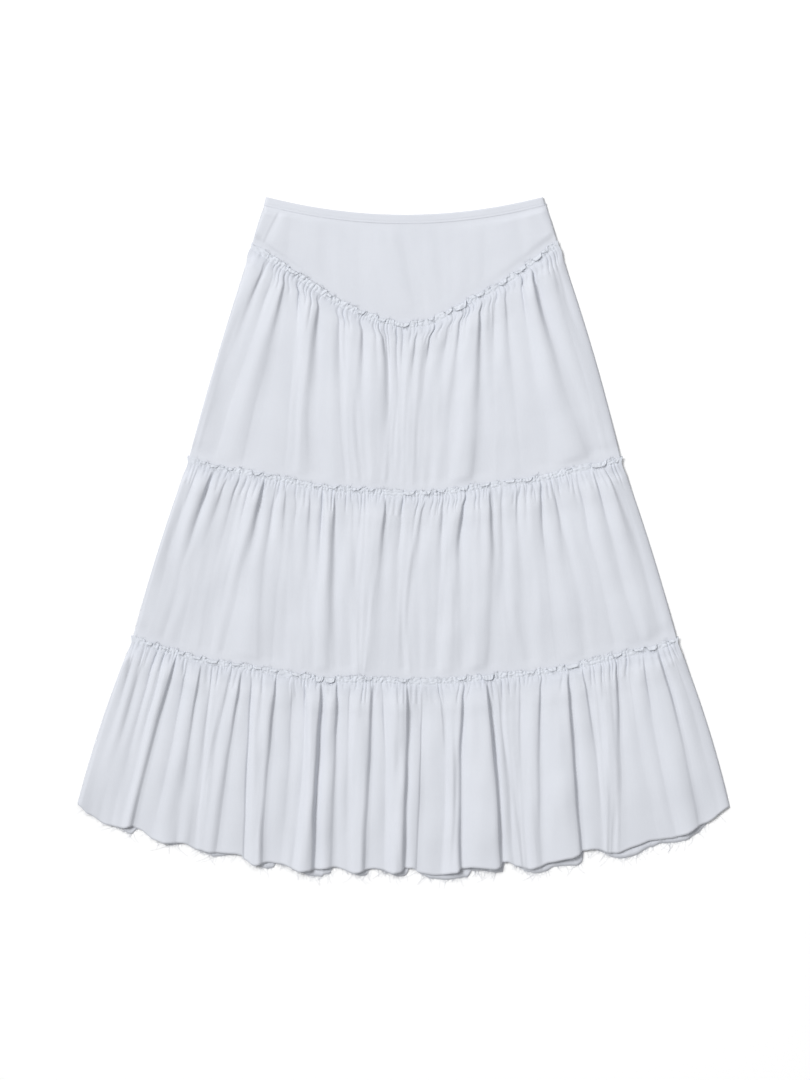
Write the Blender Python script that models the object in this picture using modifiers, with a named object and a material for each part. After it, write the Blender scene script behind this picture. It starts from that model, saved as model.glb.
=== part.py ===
"""Tiered ruffle skirt laid flat: waistband, V-edged yoke and three gathered tiers, front and back.

X runs across the skirt, Y up to the waist, Z away from the surface it lies on.
Lengths in the tables are in millimetres: x is counted from the centre line and "down" from the
corners of the waist. Each tier's raw upper edge stands above its stitch line as a frill.
"""

import math
import random

import bpy

# ---------------------------------------------------------------- driving sizes
MM = 0.001                      # the tables and sizes below are in millimetres

WALL = 1.1                      # cloth wall of yoke and tiers
BAND_WALL = 1.6                 # folded cloth of the waistband
GAP = 0.3                       # clear space between two pieces at a seam

WAIST_HALF = 177.0              # half of the flat waist
WAIST_DIP = 22.8                # how far the middle of the waist lies below its corners
BAND_DEPTH = 11.0               # depth of the waistband
BAND_FLARE = 2.6                # how much wider the waistband's lower edge is, each side
BAND_SWELL = 0.35               # crown of the waistband between its edges
BAND_CROWN = 0.45               # share of its depth where the crown is

FRILL_UP = 6.4                  # raw edge of a frill above its middle
FRILL_DOWN = 5.0                # stitch line below the middle
FRILL_STAND = 1.0               # height of the raw edge over the stitch line
FRILL_SIDE = 3.3                # how far a frill stands out past the side seam
FRILL_STRAY = 1.2               # most that a point of its raw edge is cut longer or shorter
FRILL_LEAN = 1.7                # most that it leans to one side
UNDER = 9.6                     # hidden lower edge of the panel above, below the middle of the frill
CLEAR = 11.5                    # first row of a tier past that hidden edge
MERGE = 25.6                    # where the gathers begin to merge, below the middle of the frill
LAP = 10.2                      # a panel lies on the next frill from here, above its middle
SLOPE = 24.3                    # and climbs to it from here
SLOPE_FOLDS = 0.45              # share of the fold height left there
YOKE_SLOPE_FOLDS = 0.4          # and on the yoke

LIFT = 0.6                      # how far the front stands off the back away from the sides
LIFT_REACH = 11.5               # distance from a side over which it rises
GATHER_PITCH = 12.3             # distance of gathers along a seam
GATHER_MERGED = 0.45            # share of a tier's length over which gathers run out
GATHER_VARY = (0.65, 1.35)      # least and most height of a gather, as a share of the usual one
GATHER_ROUND = 0.74             # height of the cloth between two gather lines, from the lower to the higher
RIPPLE = {"raw": 2.5, "stitch": 0.5, "clear": 1.5, "merge": 1.4}    # height of gathers by row
FOLD_SIDE = 1.0                 # half width of a fold's steep side
FOLD_LEAN = 0.15                # and how much it widens with each millimetre of height
FOLD_BIRTH = 0.25               # share of its height at the seam that a fold has right at the stitches
FOLD_BORN = 0.16                # share of the way down where it has its height at the seam
FOLD_OPEN = 0.45                # share of the way down where it is highest
YOKE_SIDE = 4.1                 # half width of the steep side of the yoke's soft creases
YOKE_PITCH = 17.8               # distance of the lines that shape the yoke
SIDE_START = 0.35               # part of the way to full fold height right inside a side edge
SIDE_REACH = 15.0               # distance in which the whole way would be made

# lower faces of the walls, from the surface up
BACK_LAP = WALL + GAP                       # back panel over a back frill
BAND_LEVEL = BAND_WALL + GAP                # front waistband
FRONT_LOW = WALL + GAP                      # front panel over one back wall
FRONT_LAP = 2.0 * (WALL + GAP)              # front panel over a back lap
HEADING = 3.0 * (WALL + GAP)                # front frill over the front panel above it

# ---------------------------------------------------------------- outline tables
# middle: down on the centre line; rise: how much higher the seam is at its end; half: distance of that end;
# power: how the rise grows on the way there; wave, length: small waves from the sewing
SEAM = ("middle", "rise", "half", "power", "wave", "length")
TIER_2_SEAM = (380.3, 42.9, 274.0, 1.6, 1.0, 22.0)
TIER_3_SEAM = (619.9, 52.5, 347.0, 2.1, 1.1, 24.0)
HEM_ARC = (863.4, 83.2, 418.6, 2.4, 0.0, 24.0)
YOKE_WAVE = (1.1, 17.0)         # the same small waves along the yoke's lower edge
NORMAL_REACH = 7.5              # distance to each side over which a seam's direction is taken

# frill along the yoke's lower edge: distance from the centre line, down
YOKE_EDGE = (
    (0, 165),
    (31, 160),
    (58, 148),
    (82, 136),
    (127, 109),
    (150, 93),
    (172, 78),
    (196, 61),
    (224, 43),
)

# side edges: left x at top, middle and low end, right x at top, middle and low end
SIDE_LINES = ("left_top", "left_mid", "left_low", "right_top", "right_mid", "right_low")
SIDES = {
    "yoke": (-179, -188, -195, 181, 189, 196),
    "tier_1": (-195, -238, -276, 196, 241, 277),
    "tier_2": (-276, -315, -348, 277, 316, 349),
    "tier_3": (-348, -387, -418, 349, 387, 416),
}
HEM_CORNERS = (775, 780)        # down of the left and right hem corners
HEM_CORNER_REACH = 26.0         # distance over which the back hem runs in to them

# ---------------------------------------------------------------- fold tables
# A fold is a crest with a steep side to its right.
# top, mid, low: x of the steep side; rise: crest height; foot: share of it left right of the steep side;
# start: share of the height at the upper seam; hold: share left at the lower end
FOLD = ("top", "mid", "low", "rise", "foot", "start", "hold")
HEM_FOLD = FOLD + ("hem_crest", "hem_foot")     # down of the hem left and right of the steep side

YOKE_FOLDS = (
    (-159, -173, -185, 2.6, 0.20, 1.0, 0.3),
    (-145, -149, -158, 2.2, 0.40, 0.4, 0.8),
    (-108, -108, -107, 1.8, 0.50, 0.6, 0.7),
    (-65, -63, -61, 1.3, 0.60, 0.6, 0.6),
    (-11, 3, 20, 2.4, 0.30, 0.8, 0.9),
    (40, 45, 52, 1.4, 0.50, 0.5, 0.5),
    (102, 100, 99, 1.8, 0.40, 0.8, 0.8),
    (140, 148, 154, 2.2, 0.30, 0.8, 1.0),
    (159, 167, 175, 1.8, 0.40, 0.9, 0.9),
)

TIER_1_FOLDS = (
    (-175, -226, -267, 4.5, 0.30, 1.0, 0.2),
    (-163, -207, -245, 3.5, 0.70, 0.8, 0.3),
    (-150, -180, -211, 7.5, 0.15, 1.0, 0.3),
    (-135, -144, -158, 4.0, 0.60, 0.4, 0.6),
    (-108, -121, -126, 7.0, 0.15, 1.0, 0.4),
    (-85, -84, -76, 4.0, 0.60, 0.6, 0.3),
    (-54, -56, -52, 5.0, 0.25, 1.0, 0.3),
    (-29, -24, -34, 5.5, 0.20, 1.0, 0.5),
    (-3, -7, -10, 3.0, 0.50, 0.5, 0.4),
    (15, 7, 6, 4.0, 0.30, 1.0, 0.4),
    (36, 21, 20, 4.5, 0.25, 1.0, 0.1),
    (57, 43, 36, 3.5, 0.60, 0.8, 0.2),
    (72, 61, 53, 5.0, 0.25, 0.8, 0.2),
    (95, 94, 85, 6.5, 0.15, 1.0, 0.7),
    (111, 115, 118, 3.5, 0.70, 0.8, 0.2),
    (126, 138, 150, 5.0, 0.30, 1.0, 0.4),
    (145, 167, 189, 4.5, 0.40, 0.7, 0.5),
    (159, 195, 240, 9.0, 0.10, 1.0, 0.6),
    (179, 221, 258, 4.0, 0.50, 1.0, 0.2),
)

TIER_2_FOLDS = (
    (-263, -301, -331, 4.0, 0.40, 1.0, 0.2),
    (-245, -281, -313, 7.0, 0.20, 1.0, 0.2),
    (-225, -262, -290, 5.0, 0.50, 1.0, 0.1),
    (-211, -243, -267, 4.0, 0.50, 1.0, 0.1),
    (-195, -225, -250, 3.0, 0.60, 1.0, 0.1),
    (-179, -207, -234, 7.0, 0.15, 1.0, 0.3),
    (-163, -182, -190, 5.0, 0.30, 0.4, 0.8),
    (-150, -163, -171, 4.5, 0.50, 1.0, 0.3),
    (-135, -147, -148, 3.5, 0.60, 0.6, 0.3),
    (-120, -127, -130, 4.0, 0.50, 1.0, 0.5),
    (-104, -111, -113, 4.0, 0.60, 0.8, 0.8),
    (-89, -94, -95, 8.0, 0.10, 1.0, 0.7),
    (-66, -68, -67, 3.5, 0.60, 0.5, 0.2),
    (-24, -34, -48, 6.5, 0.20, 1.0, 0.5),
    (-2, -10, -13, 4.0, 0.50, 0.8, 0.5),
    (26, 10, 12, 4.5, 0.30, 1.0, 0.2),
    (49, 43, 35, 4.0, 0.40, 1.0, 0.5),
    (77, 67, 71, 6.5, 0.20, 1.0, 0.7),
    (107, 111, 102, 6.5, 0.20, 0.9, 0.8),
    (122, 126, 132, 4.0, 0.50, 0.4, 0.6),
    (143, 145, 158, 4.5, 0.35, 1.0, 0.5),
    (172, 181, 194, 4.5, 0.50, 0.9, 0.3),
    (188, 209, 232, 6.0, 0.25, 0.8, 0.8),
    (217, 246, 272, 4.5, 0.50, 0.7, 0.5),
    (239, 271, 303, 6.5, 0.25, 1.0, 0.5),
    (255, 294, 319, 6.0, 0.30, 1.0, 0.7),
)

TIER_3_FOLDS = (
    (-342, -374, -406, 2.5, 0.50, 1.0, 0.4, 787, 788),
    (-328, -362, -392, 3.5, 0.50, 1.0, 0.5, 796, 797),
    (-316, -348, -374, 4.0, 0.60, 0.4, 0.6, 806, 806),
    (-304, -335, -362, 5.0, 0.70, 1.0, 0.6, 807, 807),
    (-291, -322, -349, 9.5, 0.15, 1.0, 0.9, 806, 805),
    (-278, -299, -324, 4.5, 0.60, 0.8, 0.6, 818, 820),
    (-259, -278, -294, 6.5, 0.35, 1.0, 0.8, 827, 825),
    (-246, -259, -276, 4.5, 0.50, 0.5, 0.8, 826, 828),
    (-222, -243, -258, 5.5, 0.50, 1.0, 0.5, 837, 838),
    (-208, -226, -243, 7.5, 0.25, 1.0, 0.8, 840, 840),
    (-195, -202, -207, 4.5, 0.40, 0.7, 1.1, 840, 848),
    (-163, -176, -182, 7.5, 0.20, 1.0, 0.9, 854, 851),
    (-144, -149, -157, 4.5, 0.60, 0.9, 0.6, 854, 855),
    (-129, -131, -145, 5.0, 0.70, 0.4, 0.8, 859, 860),
    (-106, -113, -118, 10.0, 0.10, 1.0, 1.0, 862, 861),
    (-86, -90, -95, 8.0, 0.15, 0.8, 0.8, 858, 857),
    (-70, -74, -74, 4.5, 0.60, 0.8, 0.6, 863, 863),
    (-42, -47, -52, 7.0, 0.20, 1.0, 0.9, 865, 860),
    (-29, -26, -25, 4.5, 0.50, 0.4, 0.7, 863, 864),
    (4, 2, -1, 9.0, 0.10, 1.0, 1.0, 865, 858),
    (22, 20, 15, 4.0, 0.40, 0.4, 1.0, 858, 864),
    (43, 52, 45, 4.0, 0.60, 0.8, 0.7, 868, 868),
    (75, 71, 72, 7.5, 0.20, 0.9, 1.0, 865, 858),
    (104, 116, 124, 9.5, 0.10, 1.0, 1.0, 858, 849),
    (118, 129, 140, 5.0, 0.50, 0.4, 0.8, 852, 854),
    (147, 149, 156, 4.5, 0.50, 0.4, 0.8, 859, 860),
    (173, 172, 175, 6.0, 0.30, 0.9, 0.8, 856, 854),
    (207, 216, 225, 9.0, 0.12, 1.0, 1.0, 845, 837),
    (226, 243, 250, 5.5, 0.40, 1.0, 0.8, 835, 838),
    (269, 275, 275, 6.5, 0.30, 1.0, 0.6, 839, 838),
    (284, 300, 327, 5.0, 0.40, 0.4, 0.6, 822, 822),
    (303, 322, 349, 4.5, 0.50, 1.0, 0.5, 819, 818),
    (321, 353, 376, 7.0, 0.25, 1.0, 0.8, 806, 805),
    (337, 374, 399, 4.0, 0.40, 1.0, 0.5, 792, 790),
)

# back hem: middle and half width of each lobe that hangs lower, and by how much
HEM_LOBE = ("middle", "half", "drop")
HEM_LOBES = (
    (-351, 19, 14),
    (-298, 22, 11),
    (-240, 27, 13),
    (-177, 23, 15),
    (-115, 31, 18),
    (-57, 19, 14),
    (-7, 19, 15),
    (49, 38, 18),
    (109, 24, 13),
    (175, 33, 20),
    (212, 23, 15),
    (272, 26, 20),
    (314, 33, 19),
    (353, 31, 23),
    (382, 23, 19),
)
LOBE_INSET = 7.7                # back hem above the arc between its lobes
LOBE_POWER = 1.4                # how pointed a lobe is

# ---------------------------------------------------------------- lines and rows of the panels
YOKE_ROWS = (0.3, 0.65)                             # shares of the way from the waist to the slope
TIER_ROWS = (0.0, 0.22, 0.46, 0.72)                 # and from the merging gathers to the slope
HEM_ROWS = (0.0, 0.18, 0.36, 0.58, 0.8, 1.0)        # and to the hem
BACK_ROW = 0.5                                      # of the way from seam to seam
BAND_COLUMNS = 24
BACK_COLUMNS = {"yoke": 24, "tier_1": 32, "tier_2": 40, "tier_3": 84}

COLOURS = {
    "waistband": (0.700, 0.725, 0.780),
    "yoke": (0.690, 0.715, 0.770),
    "tier_1": (0.680, 0.705, 0.762),
    "tier_2": (0.672, 0.698, 0.756),
    "tier_3": (0.664, 0.690, 0.750),
}
ROUGHNESS = 0.9
SHARP_ANGLE = math.radians(50.0)
SEED = 20


# ---------------------------------------------------------------- small helpers
def mix(a, b, f):
    return a + (b - a) * f


def smooth(f):
    f = min(max(f, 0.0), 1.0)
    return f * f * (3.0 - 2.0 * f)


def records(columns, table):
    return [dict(zip(columns, row)) for row in table]


def place(x, down, height):
    """A point of the cloth, in metres."""
    return (x * MM, -down * MM, height * MM)


def along(line, t):
    """x of a line at share t of its way down, through its top, mid and low."""
    top_part = line["top"] * (1.0 - t) * (1.0 - 2.0 * t)
    mid_part = line["mid"] * 4.0 * t * (1.0 - t)
    return top_part + mid_part + line["low"] * t * (2.0 * t - 1.0)


# ---------------------------------------------------------------- seams and hems
def waist_top(x):
    """Upper edge of the waistband."""
    return WAIST_DIP * (1.0 - (x / WAIST_HALF) ** 2)


def yoke_edge(x):
    away = abs(x)
    for (a, down_a), (b, down_b) in zip(YOKE_EDGE, YOKE_EDGE[1:]):
        if away <= b:
            break
    wave, length = YOKE_WAVE
    return mix(down_a, down_b, (away - a) / (b - a)) + wave * math.sin(x / length)


def arc(x, row):
    """Down of a seam that rises evenly from the centre line to both sides."""
    seam_row = dict(zip(SEAM, row))
    rise = seam_row["rise"] * (abs(x) / seam_row["half"]) ** seam_row["power"]
    return seam_row["middle"] - rise + seam_row["wave"] * math.sin(x / seam_row["length"])


def seam(level, x):
    """Waist seam (0), the middle of the frill on tier 1, 2 or 3, or the arc of the hem (4)."""
    if level == 0:
        return waist_top(x) + BAND_DEPTH
    if level == 1:
        return yoke_edge(x)
    return arc(x, {2: TIER_2_SEAM, 3: TIER_3_SEAM, 4: HEM_ARC}[level])


def seam_normal(level, x):
    """Unit direction in the cloth plane, square to the seam and pointing to the hem."""
    slope = (seam(level, x + NORMAL_REACH) - seam(level, x - NORMAL_REACH)) / (2.0 * NORMAL_REACH)
    size = math.hypot(slope, 1.0)
    return -slope / size, 1.0 / size


def back_hem(x):
    """The arc with its lobes, run in to the corners of the front hem."""
    sides = dict(zip(SIDE_LINES, SIDES["tier_3"]))
    left = sides["left_low"]
    right = sides["right_low"]
    inside = min(x - left, right - x) / HEM_CORNER_REACH
    drop = 0.0
    for lobe in records(HEM_LOBE, HEM_LOBES):
        off = min(abs(x - lobe["middle"]) / lobe["half"], 1.0)
        drop = max(drop, lobe["drop"] * math.cos(off * math.pi / 2.0) ** LOBE_POWER)
    corner = mix(HEM_CORNERS[0], HEM_CORNERS[1], (x - left) / (right - left))
    return mix(corner, seam(4, x), smooth(inside)) - LOBE_INSET * smooth(inside) + drop


def front_hem(line):
    """Down of the front hem on a line between two folds."""
    low = line["last"]["hem_foot"] if line["last"] else HEM_CORNERS[0]
    high = line["next"]["hem_crest"] if line["next"] else HEM_CORNERS[1]
    return mix(low, high, line["share"])


# ---------------------------------------------------------------- lines that run down a panel
def side_lines(panel):
    sides = dict(zip(SIDE_LINES, SIDES[panel]))
    lines = []
    for side in ("left", "right"):
        line = {end: sides[side + "_" + end] for end in ("top", "mid", "low")}
        line.update(ridge=0, share=0.0, last=None, next=None, side=True, vary=0.0)
        lines.append(line)
    return lines


def plain_lines(panel, columns):
    """Evenly spread lines without folds."""
    left, right = side_lines(panel)
    lines = []
    for column in range(columns + 1):
        share = column / float(columns)
        line = {end: mix(left[end], right[end], share) for end in ("top", "mid", "low")}
        line.update(ridge=0, share=0.0, last=None, next=None, side=column in (0, columns), vary=0.0)
        lines.append(line)
    return lines


def fold_lines(panel, folds, pitch, half_side):
    """Crest and foot of every fold, with an even number of gather lines between two folds.

    ridge is 1 on a crest and 0 in a hollow. last and next are the folds that a line lies between,
    and share says how far from the one to the other.
    """
    left, right = side_lines(panel)
    before = dict(left, next=folds[0])
    lines = [before]
    for index, fold in enumerate(folds):
        half = half_side + FOLD_LEAN * fold["rise"]
        after = folds[index + 1] if index + 1 < len(folds) else None
        crest = {end: fold[end] - half for end in ("top", "mid", "low")}
        crest.update(ridge=1, share=1.0, last=before["last"], next=fold, side=False, vary=0.0)
        foot = {end: fold[end] + half for end in ("top", "mid", "low")}
        foot.update(ridge=0, share=0.0, last=fold, next=after, side=False, vary=0.0)
        waves = max(int(round((crest["top"] - before["top"]) / pitch)) - 1, 0)
        lines += gather_lines(before, crest, 2 * waves)
        lines += [crest, foot]
        before = foot
    end = dict(right, share=1.0, last=folds[-1])
    waves = max(int(round((end["top"] - before["top"]) / pitch)) - 1, 0)
    lines += gather_lines(before, end, 2 * waves + 1)
    lines.append(end)
    return lines


def gather_lines(first, second, count):
    lines = []
    for step in range(1, count + 1):
        share = step / (count + 1.0)
        line = {end: mix(first[end], second[end], share) for end in ("top", "mid", "low")}
        line.update(ridge=step % 2, share=share, last=second["last"], next=second["next"])
        line.update(side=False, vary=0.0)
        lines.append(line)
    return lines


# ---------------------------------------------------------------- heights
def side_lift(x, left, right):
    away = max(min(x - left, right - x), 0.0)
    return LIFT * (1.0 - math.exp(-away / LIFT_REACH))


def fold_height(fold, t):
    """Crest height of one fold at share t of the way down."""
    opened = mix(fold["start"], 1.0, smooth(t / FOLD_OPEN))
    begun = mix(FOLD_BIRTH * fold["start"], opened, smooth(t / FOLD_BORN))
    return fold["rise"] * begun * mix(1.0, fold["hold"], smooth((t - FOLD_OPEN) / (1.0 - FOLD_OPEN)))


def swell(line, t):
    """Height of the cloth on a line: up from the last foot to the next crest."""
    low = fold_height(line["last"], t) * line["last"]["foot"] if line["last"] else 0.0
    high = fold_height(line["next"], t) if line["next"] else 0.0
    return mix(low, high, 1.0 - (1.0 - line["share"]) ** 2)


# ---------------------------------------------------------------- rows across a panel
def panel_row(panel, lines, upper, lower, at, offset, level, folds, lifted):
    """One row: share `at` of the way from the upper to the lower seam, plus an offset down."""
    left, right = side_lines(panel)
    row = []
    for line in lines:
        start = upper(line)
        length = lower(line) - start
        t = at + offset / length
        x = along(line, t)
        x_left = along(left, t)
        x_right = along(right, t)
        ripple = RIPPLE["merge"] * line["ridge"] * line["vary"]
        ripple *= 1.0 - smooth((t - MERGE / length) / (GATHER_MERGED - MERGE / length))
        inside = smooth(SIDE_START + min(x - x_left, x_right - x) / SIDE_REACH)
        if line["side"]:
            inside = 0.0
        height = level + (swell(line, t) + ripple) * folds * inside
        if lifted:
            height += side_lift(x, x_left, x_right)
        row.append(place(x, start + length * t, height))
    return row


def frill_rows(number, panel, lines, lower, level, raised):
    """Raw edge and stitch line of a gathered tier; a raised frill also gets its first row past the lap."""
    left, right = side_lines(panel)
    raw = []
    stitch = []
    clear = []
    for index, line in enumerate(lines):
        x = line["top"]
        down = seam(number, x)
        across, along_normal = seam_normal(number, x)
        ridge = line["ridge"] * line["vary"]
        if line["side"]:
            reach = FRILL_UP
            out = -FRILL_SIDE if index == 0 else FRILL_SIDE
            stand = 0.0
        else:
            reach = FRILL_UP + FRILL_STRAY * line["stray"]
            out = FRILL_LEAN * line["lean"]
            stand = FRILL_STAND
        if not raised:
            stand = 0.0
            out = out if line["side"] else 0.0
        lift = side_lift(x, left["top"], right["top"]) if raised else 0.0
        raw_x = x - across * reach + out
        raw_down = down - along_normal * reach
        raw.append(place(raw_x, raw_down, level + lift + stand + RIPPLE["raw"] * ridge))
        stitch_x = x + across * FRILL_DOWN
        stitch_down = down + along_normal * FRILL_DOWN
        stitch.append(place(stitch_x, stitch_down, level + lift + RIPPLE["stitch"] * ridge))
        length = lower(line) - down
        t = CLEAR / length
        height = 0.0 if line["side"] else RIPPLE["clear"] * ridge + swell(line, t)
        clear.append(place(along(line, t), down + CLEAR, level + lift + height))
    return [raw, stitch, clear] if raised else [raw, stitch]


def doubled(row):
    """Row with a point between neighbours, nearly as high as the higher one: gathers are round on top."""
    out = [row[0]]
    for before, after in zip(row, row[1:]):
        height = mix(min(before[2], after[2]), max(before[2], after[2]), GATHER_ROUND)
        out.append(((before[0] + after[0]) / 2.0, (before[1] + after[1]) / 2.0, height))
        out.append(after)
    return out


def waistband_rows(level, crown, lifted):
    rows = []
    for depth, height in ((0.0, 0.0), (BAND_CROWN, crown), (1.0, 0.0)):
        half = WAIST_HALF + BAND_FLARE * depth
        row = []
        for column in range(BAND_COLUMNS + 1):
            x = mix(-half, half, column / float(BAND_COLUMNS))
            bulge = 0.0 if column in (0, BAND_COLUMNS) else height
            lift = side_lift(x, -half, half) if lifted else 0.0
            row.append(place(x, waist_top(x) + depth * BAND_DEPTH, level + lift + bulge))
        rows.append(row)
    return rows


def yoke_rows(lines, low, lap, folds, lifted, top):
    """Plain panel from the waist seam to its hidden edge behind the first frill."""
    def upper(line):
        return seam(0, line["top"])

    def lower(line):
        return seam(1, line["low"])

    plan = [(0.0, GAP, top, 0.0)]
    plan += [(at, -at * SLOPE, low, folds) for at in YOKE_ROWS]
    plan += [
        (1.0, -SLOPE, low, YOKE_SLOPE_FOLDS * folds),
        (1.0, -LAP, lap, 0.0),
        (1.0, UNDER, lap, 0.0),
    ]
    return [panel_row("yoke", lines, upper, lower, *row, lifted) for row in plan]


def tier_rows(number, lines, front):
    """Gathered panel: frill, gathers, folds and the hidden edge behind the next frill, or the hem."""
    panel = "tier_%d" % number

    def upper(line):
        return seam(number, line["top"])

    def lower(line):
        if number < 3:
            return seam(number + 1, line["low"])
        return front_hem(line) if front else back_hem(line["low"])

    if not front:
        rows = frill_rows(number, panel, lines, lower, 0.0, False)
        plan = [(BACK_ROW, 0.0, 0.0, 0.0), (1.0, 0.0, 0.0, 0.0)]
        if number < 3:
            plan = [
                (BACK_ROW, 0.0, 0.0, 0.0),
                (1.0, -SLOPE, 0.0, 0.0),
                (1.0, -LAP, BACK_LAP, 0.0),
                (1.0, UNDER, BACK_LAP, 0.0),
            ]
        return rows + [panel_row(panel, lines, upper, lower, *row, False) for row in plan]

    rows = [doubled(row) for row in frill_rows(number, panel, lines, lower, HEADING, True)]
    if number < 3:
        plan = [(at, mix(MERGE, -SLOPE, at), FRONT_LOW, 1.0) for at in TIER_ROWS]
        plan += [
            (1.0, -SLOPE, FRONT_LOW, SLOPE_FOLDS),
            (1.0, -LAP, FRONT_LAP, 0.0),
            (1.0, UNDER, FRONT_LAP, 0.0),
        ]
    else:
        plan = [(at, mix(MERGE, 0.0, at), FRONT_LOW, 1.0) for at in HEM_ROWS]
    return rows + [panel_row(panel, lines, upper, lower, *row, True) for row in plan]


# ---------------------------------------------------------------- meshes
def sheet_mesh(name, rows):
    """Open surface through rows of points, top row first; a row may have half the columns of the last."""
    points = [point for row in rows for point in row]
    faces = []
    upper = 0
    for row, after in zip(rows, rows[1:]):
        lower = upper + len(row)
        for column in range(len(after) - 1):
            b = lower + column
            if len(row) == len(after):
                a = upper + column
                faces.append((b, b + 1, a + 1, a))
            else:
                a = upper + 2 * column
                faces.append((b, a + 1, a))
                faces.append((b, b + 1, a + 1))
                faces.append((b + 1, a + 2, a + 1))
        upper = lower
    mesh = bpy.data.meshes.new(name)
    mesh.from_pydata(points, [], faces)
    mesh.update()
    return mesh


def cloth_material(name, colour):
    material = bpy.data.materials.new(name + "_cloth")
    material.use_nodes = True
    shader = material.node_tree.nodes["Principled BSDF"]
    shader.inputs["Base Color"].default_value = (*colour, 1.0)
    shader.inputs["Roughness"].default_value = ROUGHNESS
    material.diffuse_color = (*colour, 1.0)
    return material


def cloth(name, rows, wall, colour, collection):
    """One piece of cloth: the rows are its lower face, and the wall stands on them."""
    mesh = sheet_mesh(name, rows)
    mesh.materials.append(cloth_material(name, colour))
    mesh.shade_smooth()
    mesh.set_sharp_from_angle(angle=SHARP_ANGLE)
    piece = bpy.data.objects.new(name, mesh)
    collection.objects.link(piece)
    skin = piece.modifiers.new("wall", "SOLIDIFY")
    skin.thickness = wall * MM
    skin.offset = 1.0
    skin.use_even_offset = True
    skin.use_quality_normals = True
    return piece


# ---------------------------------------------------------------- build
def make_waistband(collection):
    colour = COLOURS["waistband"]
    back = waistband_rows(0.0, 0.0, False)
    front = waistband_rows(BAND_LEVEL, BAND_SWELL, True)
    return [
        cloth("waistband_back", back, BAND_WALL, colour, collection),
        cloth("waistband_front", front, BAND_WALL, colour, collection),
    ]


def make_yoke(collection):
    colour = COLOURS["yoke"]
    folds = records(FOLD, YOKE_FOLDS)
    back = yoke_rows(plain_lines("yoke", BACK_COLUMNS["yoke"]), 0.0, BACK_LAP, 0.0, False, 0.0)
    lines = fold_lines("yoke", folds, YOKE_PITCH, YOKE_SIDE)
    front = yoke_rows(lines, FRONT_LOW, FRONT_LAP, 1.0, True, BAND_LEVEL)
    return [
        cloth("yoke_back", back, WALL, colour, collection),
        cloth("yoke_front", front, WALL, colour, collection),
    ]


def make_tier(number, folds, rng, collection):
    panel = "tier_%d" % number
    pieces = []
    for side in ("back", "front"):
        if side == "front":
            lines = fold_lines(panel, folds, GATHER_PITCH, FOLD_SIDE)
        else:
            lines = plain_lines(panel, BACK_COLUMNS[panel])
        for line in lines:
            line["vary"] = rng.uniform(*GATHER_VARY)
            line["stray"] = rng.uniform(-1.0, 1.0)
            line["lean"] = rng.uniform(-1.0, 1.0)
        rows = tier_rows(number, lines, side == "front")
        pieces.append(cloth(panel + "_" + side, rows, WALL, COLOURS[panel], collection))
    return pieces


def centre(pieces):
    """Put the origin under the middle of the whole skirt."""
    across = [vertex.co.x for piece in pieces for vertex in piece.data.vertices]
    upward = [vertex.co.y for piece in pieces for vertex in piece.data.vertices]
    shift = (-(min(across) + max(across)) / 2.0, -(min(upward) + max(upward)) / 2.0, 0.0)
    for piece in pieces:
        piece.location = shift


def build():
    for item in list(bpy.data.objects):
        bpy.data.objects.remove(item, do_unlink=True)
    collection = bpy.data.collections.new("tiered_ruffle_skirt")
    bpy.context.scene.collection.children.link(collection)
    rng = random.Random(SEED)
    pieces = make_waistband(collection) + make_yoke(collection)
    pieces += make_tier(1, records(FOLD, TIER_1_FOLDS), rng, collection)
    pieces += make_tier(2, records(FOLD, TIER_2_FOLDS), rng, collection)
    pieces += make_tier(3, records(HEM_FOLD, TIER_3_FOLDS), rng, collection)
    centre(pieces)


build()
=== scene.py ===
"""Looks of the tiered ruffle skirt laid flat: cotton shells on the frame's solids, seams, threads, light.

Lengths are in millimetres: x is counted from the centre line, "down" from the corners of the waist, and v
down a panel from the middle of the seam or frill above it. The outline and the largest folds repeat the
solids' own; each shell lies on its solid's form and adds finer gathers, crinkles and soft creases.
"""

import math
import random

import bpy
import numpy as np
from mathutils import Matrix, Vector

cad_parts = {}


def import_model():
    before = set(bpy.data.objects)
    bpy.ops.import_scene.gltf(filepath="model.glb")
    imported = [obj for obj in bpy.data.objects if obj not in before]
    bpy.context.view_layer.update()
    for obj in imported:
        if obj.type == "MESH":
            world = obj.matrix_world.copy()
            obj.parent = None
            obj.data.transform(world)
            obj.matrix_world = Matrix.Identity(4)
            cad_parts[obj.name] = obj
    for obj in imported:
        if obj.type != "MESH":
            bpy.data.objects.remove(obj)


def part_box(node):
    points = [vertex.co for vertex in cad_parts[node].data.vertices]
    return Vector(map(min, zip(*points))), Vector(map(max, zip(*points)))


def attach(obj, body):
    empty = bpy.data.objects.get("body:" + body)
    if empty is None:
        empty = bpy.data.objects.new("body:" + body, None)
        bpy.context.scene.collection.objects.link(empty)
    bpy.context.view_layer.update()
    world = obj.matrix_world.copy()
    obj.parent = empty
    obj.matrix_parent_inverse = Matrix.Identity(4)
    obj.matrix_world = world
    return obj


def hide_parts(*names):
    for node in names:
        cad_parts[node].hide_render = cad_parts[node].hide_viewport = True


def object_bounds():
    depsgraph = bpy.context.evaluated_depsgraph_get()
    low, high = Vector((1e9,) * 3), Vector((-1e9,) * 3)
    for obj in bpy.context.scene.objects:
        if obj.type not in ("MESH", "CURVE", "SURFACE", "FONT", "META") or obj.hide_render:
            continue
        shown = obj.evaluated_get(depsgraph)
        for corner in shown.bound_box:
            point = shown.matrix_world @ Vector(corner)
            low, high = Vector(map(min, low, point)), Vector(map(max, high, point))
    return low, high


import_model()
CAD_LOW, CAD_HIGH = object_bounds()

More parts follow.
